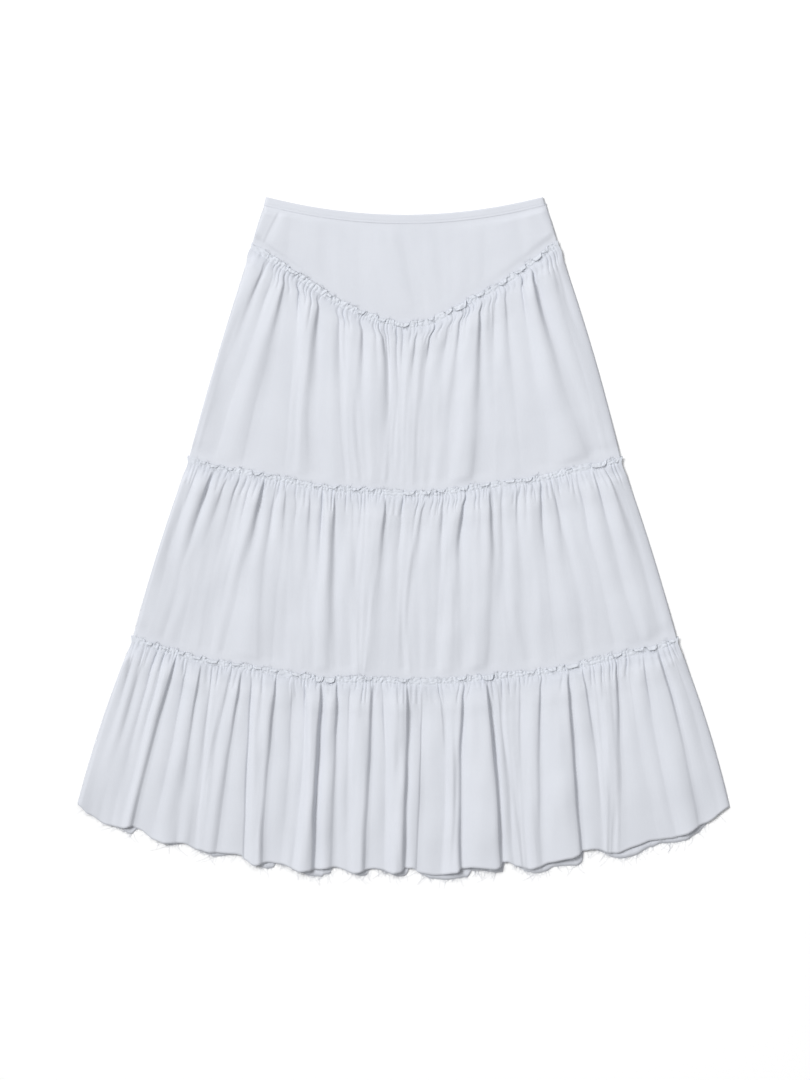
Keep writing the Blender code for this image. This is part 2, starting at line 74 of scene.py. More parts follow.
# ---- sizes shared with the solids
MM = 0.001
WALL = 1.1  # of yoke and tiers
BAND_WALL = 1.6
GAP = 0.3  # between two pieces at a seam
WAIST_HALF = 177.0
WAIST_DIP = 22.8  # how far the middle of the waist lies below its corners
BAND_DEPTH = 11.0
BAND_FLARE = 2.6  # how much wider its lower edge is, each side
FRILL_UP = 6.4  # raw edge of a frill above its middle
FRILL_DOWN = 5.0  # foot of a solid frill, below its middle
FRILL_SIDE = 3.3  # how far a frill stands out past the side seam
FRILL_STRAY = 1.2  # most that a point of its raw edge is cut longer or shorter
FRILL_LEAN = 1.7
UNDER = 9.6  # hidden lower edge of the panel above a frill, below the frill's middle
CLEAR = 11.5  # where a tier comes clear of that hidden edge
MERGE = 25.6  # where its gathers begin to merge
LAP = 10.2  # a panel lies on the next frill from here, above its middle
SLOPE = 24.3  # and climbs to it from here
LIFT = 0.6  # how far the front stands off the back away from the sides
LIFT_REACH = 11.5
GATHER_PITCH = 12.3  # distance of the solids' gathers along a seam
GATHER_VARY = (0.65, 1.35)  # least and most height of one, as a share of the usual
FOLD_SIDE = 1.0  # half width of a fold's steep side
FOLD_LEAN = 0.15  # and how much it widens with each millimetre of height
FOLD_BIRTH = 0.25  # share of its height at the seam that it has right at the stitches
FOLD_BORN = 0.16  # share of the way down where it has its height at the seam
FOLD_OPEN = 0.45  # share of the way down where it is highest
YOKE_SIDE = 4.1  # half width of the steep side of the yoke's soft creases
YOKE_PITCH = 17.8  # distance of the lines that shape it

# lower faces of the walls, from the surface up
BACK_LAP = WALL + GAP
BAND_LEVEL = BAND_WALL + GAP
FRONT_LOW = WALL + GAP
FRONT_LAP = 2.0 * (WALL + GAP)
HEADING = 3.0 * (WALL + GAP)

# down on the centre line; rise to its ends, distance of those, power of the rise; size and length of waves
SEAMS = {
    2: (380.3, 42.9, 274.0, 1.6, 1.0, 22.0),
    3: (619.9, 52.5, 347.0, 2.1, 1.1, 24.0),
}
YOKE_WAVE = (1.1, 17.0)  # the same small waves along the yoke's lower edge
NORMAL_REACH = 7.5  # distance to each side over which a seam's direction is taken

# frill along the yoke's lower edge: distance from the centre line, down
YOKE_EDGE = (
    (0, 165), (31, 160), (58, 148), (82, 136), (127, 109), (150, 93), (172, 78), (196, 61), (224, 43),
)

# side edges of each panel, left and right: x at its top, halfway down and at its low end
ENDS = ("top", "mid", "low")
SIDES = {
    "yoke": ((-179, -188, -195), (181, 189, 196)),
    "tier_1": ((-195, -238, -276), (196, 241, 277)),
    "tier_2": ((-276, -315, -348), (277, 316, 349)),
    "tier_3": ((-348, -387, -418), (349, 387, 416)),
}

# A fold is a crest with a steep side to its right.
# top, mid, low: x of the steep side; rise: crest height; foot: share of it left right of the steep side;
# start: share of the height at the upper seam; hold: share left at the lower end
FOLD = ENDS + ("rise", "foot", "start", "hold")

YOKE_FOLDS = (
    (-159, -173, -185, 0.8, 0.5, 1.0, 0.6), (-145, -149, -158, 1.4, 0.6, 1.0, 0.8),
    (-108, -108, -107, 1.8, 0.5, 0.6, 0.7), (-65, -63, -61, 1.3, 0.6, 0.6, 0.6),
    (-11, 3, 20, 2.4, 0.3, 0.8, 0.9), (40, 45, 52, 1.4, 0.5, 0.5, 0.5),
    (102, 100, 99, 1.8, 0.4, 0.8, 0.8), (140, 148, 154, 2.2, 0.3, 0.8, 1.0),
    (159, 167, 175, 1.8, 0.4, 0.9, 0.9),
)

TIER_1_FOLDS = (
    (-175, -226, -267, 4.5, 0.3, 1.0, 0.2), (-163, -207, -245, 3.5, 0.7, 0.8, 0.3),
    (-150, -180, -211, 7.5, 0.15, 1.0, 0.3), (-135, -144, -158, 4.0, 0.6, 0.4, 0.6),
    (-108, -121, -126, 7.0, 0.15, 1.0, 0.4), (-85, -84, -76, 4.0, 0.6, 0.6, 0.3),
    (-54, -56, -52, 5.0, 0.25, 1.0, 0.3), (-29, -24, -34, 5.5, 0.2, 1.0, 0.5),
    (-3, -7, -10, 3.0, 0.5, 0.5, 0.4), (15, 7, 6, 4.0, 0.3, 1.0, 0.4),
    (36, 21, 20, 4.5, 0.25, 1.0, 0.1), (57, 43, 36, 3.5, 0.6, 0.8, 0.2),
    (72, 61, 53, 5.0, 0.25, 0.8, 0.2), (95, 94, 85, 6.5, 0.15, 1.0, 0.7),
    (111, 115, 118, 3.5, 0.7, 0.8, 0.2), (126, 138, 150, 5.0, 0.3, 1.0, 0.4),
    (145, 167, 189, 4.5, 0.4, 0.7, 0.5), (159, 195, 240, 9.0, 0.1, 1.0, 0.6),
    (179, 221, 258, 4.0, 0.5, 1.0, 0.2),
)

TIER_2_FOLDS = (
    (-263, -301, -331, 4.0, 0.4, 1.0, 0.2), (-245, -281, -313, 7.0, 0.2, 1.0, 0.2),
    (-225, -262, -290, 5.0, 0.5, 1.0, 0.1), (-211, -243, -267, 4.0, 0.5, 1.0, 0.1),
    (-195, -225, -250, 3.0, 0.6, 1.0, 0.1), (-179, -207, -234, 7.0, 0.15, 1.0, 0.3),
    (-163, -182, -190, 5.0, 0.3, 0.4, 0.8), (-150, -163, -171, 4.5, 0.5, 1.0, 0.3),
    (-135, -147, -148, 3.5, 0.6, 0.6, 0.3), (-120, -127, -130, 4.0, 0.5, 1.0, 0.5),
    (-104, -111, -113, 4.0, 0.6, 0.8, 0.8), (-89, -94, -95, 8.0, 0.1, 1.0, 0.7),
    (-66, -68, -67, 3.5, 0.6, 0.5, 0.2), (-24, -34, -48, 6.5, 0.2, 1.0, 0.5),
    (-2, -10, -13, 4.0, 0.5, 0.8, 0.5), (26, 10, 12, 4.5, 0.3, 1.0, 0.2),
    (49, 43, 35, 4.0, 0.4, 1.0, 0.5), (77, 67, 71, 6.5, 0.2, 1.0, 0.7),
    (107, 111, 102, 6.5, 0.2, 0.9, 0.8), (122, 126, 132, 4.0, 0.5, 0.4, 0.6),
    (143, 145, 158, 4.5, 0.35, 1.0, 0.5), (172, 181, 194, 4.5, 0.5, 0.9, 0.3),
    (188, 209, 232, 6.0, 0.25, 0.8, 0.8), (217, 246, 272, 4.5, 0.5, 0.7, 0.5),
    (239, 271, 303, 6.5, 0.25, 1.0, 0.5), (255, 294, 319, 6.0, 0.3, 1.0, 0.7),
)

TIER_3_FOLDS = (
    (-342, -374, -406, 2.5, 0.5, 1.0, 0.4), (-328, -362, -392, 3.5, 0.5, 1.0, 0.5),
    (-316, -348, -374, 4.0, 0.6, 0.4, 0.6), (-304, -335, -362, 5.0, 0.95, 1.0, 0.6),
    (-291, -322, -349, 7.8, 0.15, 1.0, 0.9), (-278, -299, -324, 4.5, 0.6, 0.8, 0.6),
    (-259, -278, -294, 6.5, 0.35, 1.0, 0.8), (-246, -259, -276, 4.5, 0.5, 0.5, 0.8),
    (-222, -243, -258, 5.5, 0.7, 1.0, 0.5), (-208, -226, -243, 6.8, 0.25, 1.0, 0.8),
    (-195, -202, -207, 4.5, 0.4, 0.7, 1.1), (-163, -176, -182, 7.5, 0.2, 1.0, 0.9),
    (-144, -149, -157, 4.5, 0.6, 0.9, 0.6), (-129, -131, -145, 5.0, 0.7, 0.4, 0.8),
    (-106, -113, -118, 10.0, 0.1, 1.0, 1.0), (-86, -90, -95, 8.0, 0.15, 0.8, 0.8),
    (-70, -74, -74, 4.5, 0.6, 0.8, 0.6), (-42, -47, -52, 7.0, 0.2, 1.0, 0.9),
    (-29, -26, -25, 4.5, 0.5, 0.4, 0.7), (4, 2, -1, 9.0, 0.1, 1.0, 1.0),
    (22, 20, 15, 4.0, 0.4, 0.4, 1.0), (43, 52, 45, 4.0, 0.6, 0.8, 0.7),
    (75, 71, 72, 7.5, 0.2, 0.9, 1.0), (104, 116, 124, 9.5, 0.1, 1.0, 1.0),
    (118, 129, 140, 5.0, 0.5, 0.4, 0.8), (147, 149, 156, 4.5, 0.5, 0.4, 0.8),
    (173, 172, 175, 6.0, 0.3, 0.9, 0.8), (207, 216, 225, 9.0, 0.12, 1.0, 1.0),
    (226, 243, 250, 5.5, 0.4, 1.0, 0.8), (269, 275, 275, 6.5, 0.3, 1.0, 0.6),
    (284, 300, 327, 5.0, 0.4, 0.4, 0.6), (303, 322, 349, 4.5, 0.5, 1.0, 0.5),
    (321, 353, 376, 7.0, 0.25, 1.0, 0.8), (337, 374, 399, 4.0, 0.4, 1.0, 0.5),
)

# raw hems, finer than the solids': x, down; the curve eases from point to point
FRONT_HEM = (
    (-418, 775), (-404, 789), (-380, 803), (-359, 807), (-349, 804.5), (-340, 808), (-319, 822.5),
    (-308, 826.5), (-283, 826), (-264, 835), (-250, 838.5), (-210, 840), (-205, 847), (-191, 855),
    (-173, 850.5), (-157, 853), (-134, 862.5), (-108, 859.5), (-88, 857), (-64, 865), (-40, 858.5),
    (-31, 859.5), (-16, 865), (-5, 863.5), (1, 858.5), (12, 858), (18, 864), (40, 867.5), (68, 864),
    (73, 859), (86, 857), (119, 859.5), (123, 857), (127, 851), (133, 850), (145, 856), (161, 860),
    (172, 857), (186, 851), (214, 845.5), (222, 842), (226, 837), (238, 834), (246, 834), (262, 839),
    (274, 839), (299, 829), (314, 823), (342, 820), (357, 816), (385, 801), (416, 780),
)
BACK_HEM = (
    (-418, 775), (-392, 791), (-369, 805), (-350, 815), (-341, 807), (-330, 806), (-314, 824),
    (-298, 829), (-283, 825), (-275, 824), (-261, 837), (-243, 843.5), (-210, 839.5), (-202, 840),
    (-190, 855), (-176, 859), (-168, 857.5), (-163, 850), (-155, 855), (-148, 853), (-136, 863),
    (-119, 868.5), (-105, 869), (-103, 866), (-94.5, 865), (-92, 857), (-80, 856), (-68, 865),
    (-56, 868.5), (-48.5, 867), (-45, 858), (-36, 857), (-24, 864), (-8, 869), (0, 868.5), (3.5, 865),
    (6, 856), (12, 856), (21, 866), (34, 871.5), (53, 873.3), (75, 870), (82, 869.5), (85, 861.5),
    (97, 861), (117, 864), (125.5, 863.5), (128.5, 849), (136, 849), (144, 856.5), (158, 863),
    (170, 864.5), (182, 862), (190, 856.5), (207, 855), (221, 855), (227, 851), (230, 834), (242, 832),
    (253, 838), (266, 844), (276, 846), (291, 843), (316, 831), (330, 826), (346, 825.5), (359, 823),
    (374, 814), (385, 804), (390, 795), (416, 780),
)

# where a frill is rolled over towards the hem: x, half length along the seam, how far it rolls
CURLS = {
    1: (
        (-194, 4, 1.0), (-144, 6, 1.4), (-98, 5, 1.2), (-57, 5, 1.3), (-29, 5, 1.1), (-3, 10, 1.5),
        (35, 4, 0.9), (57, 5, 1.3), (72, 8, 1.9), (97, 5, 1.3), (126, 6, 1.4), (149, 6, 1.4), (170, 6, 1.5),
        (182, 5, 1.1), (195, 4, 1.0),
    ),
    2: (
        (-259, 5, 1.1), (-244, 5, 1.2), (-226, 6, 1.0), (-190, 6, 1.2), (-176, 5, 1.0), (-113, 6, 1.1),
        (-92, 5, 1.0), (-63, 6, 1.1), (-43, 5, 1.0), (6, 7, 1.3), (29, 6, 1.2), (48, 5, 1.0), (77, 6, 1.2),
        (102, 6, 1.1), (135, 6, 1.0), (157, 6, 1.2), (249, 10, 1.7), (274, 5, 1.5),
    ),
    3: (
        (-327, 5, 1.2), (-307, 6, 1.0), (-286, 5, 1.1), (-266, 6, 1.2), (-247, 8, 1.3), (-216, 6, 1.1),
        (-189, 6, 1.1), (-166, 5, 1.0), (-139, 6, 1.1), (-110, 6, 1.7), (-95, 7, 1.8), (-47, 6, 1.1),
        (-2, 6, 1.2), (72, 6, 1.1), (107, 8, 1.7), (161, 6, 1.1), (188, 6, 1.2), (215, 9, 1.4),
        (273, 7, 1.3), (300, 6, 1.1), (317, 7, 1.6), (344, 5, 1.2),
    ),
}

BACK_COLUMNS = {"yoke": 24, "tier_1": 32, "tier_2": 40, "tier_3": 84}
SEED = 20  # of the random heights that a shell shares with its solid

# ---- sizes of the fine cloth
CLOTH = 0.45  # thickness of the cotton
BAND_CLOTH = 0.9  # two layers, folded
TOP_FACE = WALL - CLOTH  # puts a shell's upper face on its solid's
DEEPEST = 0.45  # most that gathers and crinkles reach below the level of their cloth

# irregular waves: draw, size, length across and down; on frills and the waistband the last is a share
WAVES = {
    "wander": (10, 1.6, 64.0, 120.0),
    "fine_wander": (12, 0.6, 21.0, 45.0),
    "uneven_folds": (11, 0.25, 30.0, 60.0),
    "broad_swells": (0, 1.0, 19.0, 105.0),
    "swells": (1, 0.55, 8.0, 75.0),
    "crumple": (3, 0.06, 9.0, 13.0),
    "turn_wander": (28, 1.5, 6.0, 1.0),
    "raw_edge": (20, 0.5, 4.0, 1.0),
    "fine_raw_edge": (24, 0.3, 1.9, 1.0),
    "frill_curl": (22, 0.45, 4.5, 1.0),
    "frill_lean": (23, 0.9, 5.0, 1.0),
    "scrunch": (25, 1.5, 2.6, 1.0 / 2.6),
    "fine_scrunch": (26, 0.6, 1.6, 0.25),
    "dents": (27, 1.0, 2.6, 1.0 / 2.4),
    "uneven_yoke": (11, 0.2, 30.0, 50.0),
    "yoke_swells": (0, 0.3, 15.0, 90.0),
    "yoke_crumple": (3, 0.06, 8.0, 11.0),
    "back_creases": (0, 1.0, 13.0, 120.0),
    "back_gathers": (1, 0.7, 5.0, 30.0),
    "back_crumple": (2, 0.05, 7.0, 11.0),
    "band_pucker": (41, 0.10, 4.0, 0.5),
    "band_swell": (42, 0.12, 30.0, 1.0),
}


# ---- small helpers
def mix(a, b, f):
    return a + (b - a) * f


def smooth(f):
    f = np.clip(f, 0.0, 1.0)
    return f * f * (3.0 - 2.0 * f)


def between(value, none, full):
    """0 at none and before it, 1 from full on, smooth between them; full may be the lower of the two."""
    return smooth((value - none) / (full - none))


def bell(off, width):
    return np.exp(-(off / width) ** 2)


LATTICE = 256  # number of waves after which the noise repeats


def noise(seed, x, y):
    """Smooth noise, about -1 to 1, with waves about one unit long both ways."""
    angle = np.random.default_rng(seed).uniform(0.0, 2.0 * math.pi, (LATTICE, LATTICE))
    x, y = np.broadcast_arrays(np.asarray(x, float), np.asarray(y, float))
    column = np.floor(x).astype(int)
    row = np.floor(y).astype(int)
    across = x - column
    down = y - row

    def corner(right, low):
        turn = angle[(column + right) % LATTICE, (row + low) % LATTICE]
        return np.cos(turn) * (across - right) + np.sin(turn) * (down - low)

    fade_x = across ** 3 * (across * (across * 6.0 - 15.0) + 10.0)
    fade_y = down ** 3 * (down * (down * 6.0 - 15.0) + 10.0)
    upper = mix(corner(0, 0), corner(1, 0), fade_x)
    lower = mix(corner(0, 1), corner(1, 1), fade_x)
    return 1.5 * mix(upper, lower, fade_y)


def wave(name, seed, x, y=0.5):
    draw, size, across, down = WAVES[name]
    return size * noise(seed + draw, x / across, y / down)


# ---- seams and hems
def waist_top(x):
    return WAIST_DIP * (1.0 - (x / WAIST_HALF) ** 2)


def yoke_edge(x):
    away, down = zip(*YOKE_EDGE)
    slope = (down[-1] - down[-2]) / (away[-1] - away[-2])
    inner = np.interp(np.abs(x), away, down)
    outer = down[-1] + slope * (np.abs(x) - away[-1])
    size, length = YOKE_WAVE
    return np.where(np.abs(x) <= away[-1], inner, outer) + size * np.sin(x / length)


def arc(x, middle, rise, half, power, size, length):
    return middle - rise * (np.abs(x) / half) ** power + size * np.sin(x / length)


def seam(level, x):
    """Waist seam (0), or the middle of the frill on tier 1, 2 or 3."""
    if level == 0:
        return waist_top(x) + BAND_DEPTH
    if level == 1:
        return yoke_edge(x)
    return arc(x, *SEAMS[level])


def seam_normal(level, x):
    slope = (seam(level, x + NORMAL_REACH) - seam(level, x - NORMAL_REACH)) / (2.0 * NORMAL_REACH)
    size = np.hypot(slope, 1.0)
    return -slope / size, 1.0 / size


HEM_EASE = 0.7  # from straight lines (0) to a curve that is level at each point (1)


def lower_edge(number, x, hem):
    """Seam below a panel, or the curve of the raw hem below the last tier."""
    if number < 3:
        return seam(number + 1, x)
    at, down = (np.array(part, float) for part in zip(*hem))
    left = np.clip(np.searchsorted(at, x) - 1, 0, len(at) - 2)
    share = np.clip((x - at[left]) / (at[left + 1] - at[left]), 0.0, 1.0)
    return mix(down[left], down[left + 1], mix(share, smooth(share), HEM_EASE))


# ---- lines that run down a panel
def new_line(places, **more):
    """x at the top, halfway and at the low end, whether it is a ridge, and the folds on both sides."""
    line = dict(zip(ENDS, places), ridge=0, share=0.0, vary=1.0, stray=0.0, last=None, next=None)
    line.update(more)
    return line


def line_between(first, second, f, **more):
    return new_line([mix(first[end], second[end], f) for end in ENDS], **more)


def side_lines(panel):
    return [new_line(places) for places in SIDES[panel]]


def plain_lines(panel):
    left, right = side_lines(panel)
    columns = BACK_COLUMNS[panel]
    return [line_between(left, right, column / columns, ridge=column % 2) for column in range(columns + 1)]


def gather_lines(first, second, count):
    beside = {"last": second["last"], "next": second["next"]}
    lines = []
    for step in range(1, count + 1):
        f = step / (count + 1.0)
        lines.append(line_between(first, second, f, ridge=step % 2, share=f, **beside))
    return lines


def fold_lines(panel, folds, pitch, half_side):
    """Crest and foot of every fold, with an even number of gather lines between two folds."""

    def waves_to(line):
        return max(int(round((line["top"] - before["top"]) / pitch)) - 1, 0)

    left, right = side_lines(panel)
    before = dict(left, next=folds[0])
    lines = [before]
    for fold, after in zip(folds, folds[1:] + [None]):
        half = half_side + FOLD_LEAN * fold["rise"]
        beside = {"last": before["last"], "next": fold}
        crest = new_line([fold[end] - half for end in ENDS], ridge=1, share=1.0, **beside)
        foot = new_line([fold[end] + half for end in ENDS], last=fold, next=after)
        lines += gather_lines(before, crest, 2 * waves_to(crest))
        lines += [crest, foot]
        before = foot
    edge = dict(right, share=1.0, last=folds[-1])
    lines += gather_lines(before, edge, 2 * waves_to(edge) + 1)
    return lines + [edge]


def shaken(lines, rng):
    """Gives each line its solid's height and stray, and draws the solid's lean, which isn't used here."""
    for line in lines:
        line["vary"] = rng.uniform(*GATHER_VARY)
        line["stray"] = rng.uniform(-1.0, 1.0)
        rng.uniform(-1.0, 1.0)
    return lines


FOLD_CURVE = (2.3, 3.6)  # how late the cloth swells up towards a fold's crest


def curved(table, seed):
    own = random.Random(seed)
    return [dict(zip(FOLD, row), curve=own.uniform(*FOLD_CURVE)) for row in table]


SHOULDER = 0.55  # how far the cloth swells up before a crest
RIDGE_ROUND = 1.7  # how full a ridge between two hollows is
NO_FOLD = {"rise": 0.0, "foot": 0.0, "start": 0.0, "hold": 0.0, "curve": 2.0}


def fine_columns(lines, steps, steep_steps):
    """Arrays over the fine columns of a panel, several between each two lines.

    The height of a column goes from that of fold a to that of fold b with the weight w.
    """
    rows = []
    for first, second in zip(lines, lines[1:]):
        steep = second["last"] is not first["last"]
        count = steep_steps if steep else steps
        last = second is lines[-1]
        for step in range(count + (1 if last else 0)):
            f = step / count
            row = {key: mix(first[key], second[key], f) for key in ENDS}
            row.update({key: mix(first[key], second[key], float(smooth(f))) for key in ("vary", "stray")})
            round_top = f if second["ridge"] > first["ridge"] else 1.0 - f
            flat = second["ridge"] == first["ridge"]
            row["ridge"] = float(first["ridge"]) if flat else 1.0 - (1.0 - round_top) ** RIDGE_ROUND
            if steep:
                a = b = second["last"]
                rises = (a["rise"], a["rise"] * a["foot"])
                share = weight = f
            else:
                a = second["last"] or NO_FOLD
                b = first["next"] or NO_FOLD
                rises = (a["rise"] * a["foot"], b["rise"])
                share = mix(first["share"], second["share"], f)
                weight = 1.0 - (1.0 - share) ** b["curve"] + SHOULDER * share * (1.0 - share)
            row.update(w=weight, steep=float(steep), keep=mix(a["hold"], b["hold"], share))
            for side, fold, rise in zip(("a_", "b_"), (a, b), rises):
                row.update({side + "rise": rise, side + "start": fold["start"], side + "hold": fold["hold"]})
            rows.append(row)
    return {key: np.array([row[key] for row in rows], float) for key in rows[0]}


def along(line, t):
    """x at share t of the way down, through top, mid and low."""
    top_part = line["top"] * (1.0 - t) * (1.0 - 2.0 * t)
    mid_part = line["mid"] * 4.0 * t * (1.0 - t)
    return top_part + mid_part + line["low"] * t * (2.0 * t - 1.0)


# ---- folds
STEEP_NARROW = 1.9  # how much narrower a fold's steep side is at the seam
STEEP_OPEN = 0.5  # share of the way down from which it has its full width


def fold_height(line, side, t):
    opened = mix(line[side + "start"], 1.0, smooth(t / FOLD_OPEN))
    begun = mix(FOLD_BIRTH * line[side + "start"], opened, smooth(t / FOLD_BORN))
    held = mix(1.0, line[side + "hold"], between(t, FOLD_OPEN, 1.0))
    return line[side + "rise"] * begun * held


def fold_shape(line, t, uneven):
    """Height of the folds; their steep sides are narrow at the seam and widen on the way down."""
    narrow = mix(STEEP_NARROW, 1.0, smooth(t / STEEP_OPEN))
    steep = smooth(0.5 + (line["w"] - 0.5) * narrow)
    weight = np.where(line["steep"] > 0.5, steep, line["w"])
    return mix(fold_height(line, "a_", t), fold_height(line, "b_", t), weight) * uneven


def softened(height, x, sigma):
    """Height averaged across the columns of each row, over sigma millimetres to both sides."""
    width = np.gradient(x, axis=1)
    sigma = np.broadcast_to(sigma, x.shape)
    out = np.empty_like(height)
    for row in range(len(height)):
        apart = (x[row][:, None] - x[row][None, :]) / sigma[row][:, None]
        weight = np.exp(-0.5 * apart ** 2) * width[row]
        out[row] = (weight @ height[row]) / weight.sum(axis=1)
    return out


# ---- rows and sides of a panel
LAPPED = ((1.0, -SLOPE), (1.0, -LAP), (1.0, UNDER))  # last stops of a panel that lies on the next frill


def rows_down(plan, start, lower):
    """v at every point of the rows of a panel, and the length of the panel at each column.

    A plan is its stops, each a share of the way down and an offset, and the number of rows between them.
    """
    stops, counts = plan
    rows = []
    for stop, after, count in zip(stops, stops[1:], counts):
        for step in range(count):
            rows.append([mix(a, b, step / count) for a, b in zip(stop, after)])
    rows.append(stops[-1])
    at, offset = np.array(rows).T[:, :, None]
    length = lower - start
    return at * length + offset, length


def side_distances(panel, x, t):
    left, right = side_lines(panel)
    return np.maximum(x - along(left, t), 0.0), np.maximum(along(right, t) - x, 0.0)


def edge_distance(panel, x, t):
    return np.minimum(*side_distances(panel, x, t))


def laid_out(panel, number, line, plan, hem=None):
    """Rows of a panel: upper seam, v, length, share of the way down, x and distance from the nearer side."""
    start = seam(number, line["top"])
    v, length = rows_down(plan, start, lower_edge(number, line["low"], hem))
    t = v / length
    x = along(line, np.maximum(t, 0.0))
    return start, v, length, t, x, edge_distance(panel, x, np.maximum(t, 0.0))


def below_seam(number, x_top, start, v, x, turned):
    """x and down of points: square below a seam where turned is 0, on the panel's lines where it is 1."""
    across, square = seam_normal(number, x_top)
    return mix(x_top + across * v, x, turned), mix(start + square * v, start + v, turned)


def lifted(away):
    """How far the front stands off the back, by the distance from the nearer side edge."""
    return LIFT * (1.0 - np.exp(-away / LIFT_REACH))


SIDE_REACH = 8.0  # this near a side, frills stand out past it and the back has no troughs
# the side seams roll up: height, and the distances over which it comes up and falls off
LEFT_ROLL = (5.0, 1.2, 20.0)
RIGHT_ROLL = (2.6, 9.5, 40.0)
SEAM_DOWN = 1.3  # how far the front's edges come down onto the back's
SEAM_WIDE = 2.0
LEFT_RISE = 2.5  # distance over which cloth comes up to its folds at the left
SIDE_RISE = {0: 10.0, 1: 16.0, 2: 20.0, 3: 26.0}  # and at the right, on the yoke (0) and on each tier
FRILL_RISE = 10.0  # and next to a frill, on both sides
LEFT_STEEP = 6.5  # within this it is drawn to the left seam, to make it steeper
ROLL_LAID = (9.0, 30.0)  # pressed flat between these distances above the frill below
ROLL_LEFT = 0.1  # share of the roll left there


def side_rolls(from_left, from_right):
    """Height of the rolled side seams: the left one comes up steeply, the right one is rounded."""
    high, rise, fall = LEFT_ROLL
    rolled = high * smooth(from_left / rise) * np.exp(-from_left / fall)
    high, rise, fall = RIGHT_ROLL
    short = np.maximum(1.0 - from_right / rise, 0.0)
    rolled = rolled + high * (1.0 - short ** 2) * np.exp(-np.maximum(from_right - rise, 0.0) / fall)
    return rolled - SEAM_DOWN * (1.0 - smooth(np.minimum(from_left, from_right) / SEAM_WIDE))


def drawn_left(from_left):
    return from_left * (1.0 - smooth(from_left / LEFT_STEEP))


# ---- gathers
# how far the gathers of a tier run: share of all, least and most length
GATHER_RUNS = (
    (0.56, 6.0, 20.0),
    (0.32, 25.0, 75.0),
    (0.12, 80.0, 170.0),
)
GATHER_GAP = (2.2, 5.8)  # least and most distance of two gathers along the seam
GATHER_DEPTH = (1.1, 2.3)
GATHER_DEEPER = 600.0  # a gather is deeper by its length over this
GATHER_WIDTH = (0.65, 1.15)
GATHER_SPREAD = (0.010, 0.022)  # and how much wider it gets with each millimetre down
LONG_SPREAD = 0.0002  # and more, with each millimetre of its length
GATHER_LEAN = 0.10  # usual slant
LEAN_LENGTH = 25.0  # a longer gather slants less
GATHER_BEND = 1.2  # usual swing to one side
GATHER_FADE = 0.35  # share of its length from which it is lost
GATHER_SHALLOW = 0.45  # share of its depth that it loses on the way
HOLLOW_POWER = 1.5


def gather_table(number, seed):
    """Hollows between the puffs of a gathered seam."""
    own = np.random.default_rng(seed)
    left, right = side_lines("tier_%d" % number)
    shares, least, most = zip(*GATHER_RUNS)
    table = []
    at = left["top"] + own.uniform(*GATHER_GAP)
    while at < right["top"] - GATHER_GAP[0]:
        run = own.choice(len(shares), p=shares)
        length = own.uniform(least[run], most[run])
        table.append({
            "at": at,
            "length": length,
            "lean": own.normal(0.0, GATHER_LEAN) * min(1.0, LEAN_LENGTH / length),
            "bend": own.normal(0.0, GATHER_BEND),
            "depth": own.uniform(*GATHER_DEPTH) * (1.0 + length / GATHER_DEEPER),
            "width": own.uniform(*GATHER_WIDTH),
            "spread": own.uniform(*GATHER_SPREAD) + LONG_SPREAD * length,
        })
        at += own.uniform(*GATHER_GAP)
    return table


def hollow(off, width):
    return np.exp(-(np.abs(off) / width) ** HOLLOW_POWER)


def hollows(gathers, x_top, v):
    """Depth of the hollows between puffs, below the stitch line."""
    depth = np.zeros(np.broadcast(x_top, v).shape)
    for row in gathers:
        run = np.clip(v / row["length"], 0.0, 1.0)
        path = row["at"] + row["lean"] * v + row["bend"] * np.sin(run * math.pi)
        left = row["depth"] * (1.0 - GATHER_SHALLOW * run) * (1.0 - between(run, GATHER_FADE, 1.0))
        depth = np.maximum(depth, left * hollow(x_top - path, row["width"] + row["spread"] * v))
    return depth


PLEAT_LEAN = 14.0  # how far the gathers run on up into a frill, by their slant
PLEAT_WIDTH = (0.9, 1.2)  # of their width, at the stitches and at the raw edge


def pleats(gathers, x_top, share):
    """Height of the frill's small puffs, 0 to 1, between the gathers that run up into it."""
    deepest = np.zeros_like(x_top)
    for row in gathers:
        path = row["at"] - PLEAT_LEAN * row["lean"] * share
        width = row["width"] * mix(*PLEAT_WIDTH, share)
        deepest = np.maximum(deepest, min(row["depth"], 1.0) * hollow(x_top - path, width))
    return 1.0 - deepest


SEWN = 3.0  # where the stitch line runs, below the middle of the frill
GROOVE = (1.1, 1.2)  # depth to which it draws the cloth in, and half width
PUFF = 1.7  # height of the gathers' puffs right below the stitches
PUFF_BASE = 0.9  # and of the cloth they stand on
PUFF_REACH = 26.0
STITCH_PUFF = 0.60  # share of their height that the puffs have at the stitches
PUFF_FULL = 7.5  # how far below the stitches they have it all
PINCH = 0.35  # how much deeper the hollows between them are next to the stitches
PINCH_REACH = 7.0


def stitched_puffs(gathers, x_top, v):
    """Height of the puffs and hollows below the stitch line, and of the groove along it."""
    born = mix(STITCH_PUFF, 1.0, between(v, SEWN, SEWN + PUFF_FULL))
    deeper = 1.0 + PINCH * np.exp(-v / PINCH_REACH)
    puffs = PUFF * np.exp(-v / PUFF_REACH) - deeper * hollows(gathers, x_top, v)
    return PUFF_BASE + born * puffs - GROOVE[0] * bell(v - SEWN, GROOVE[1])


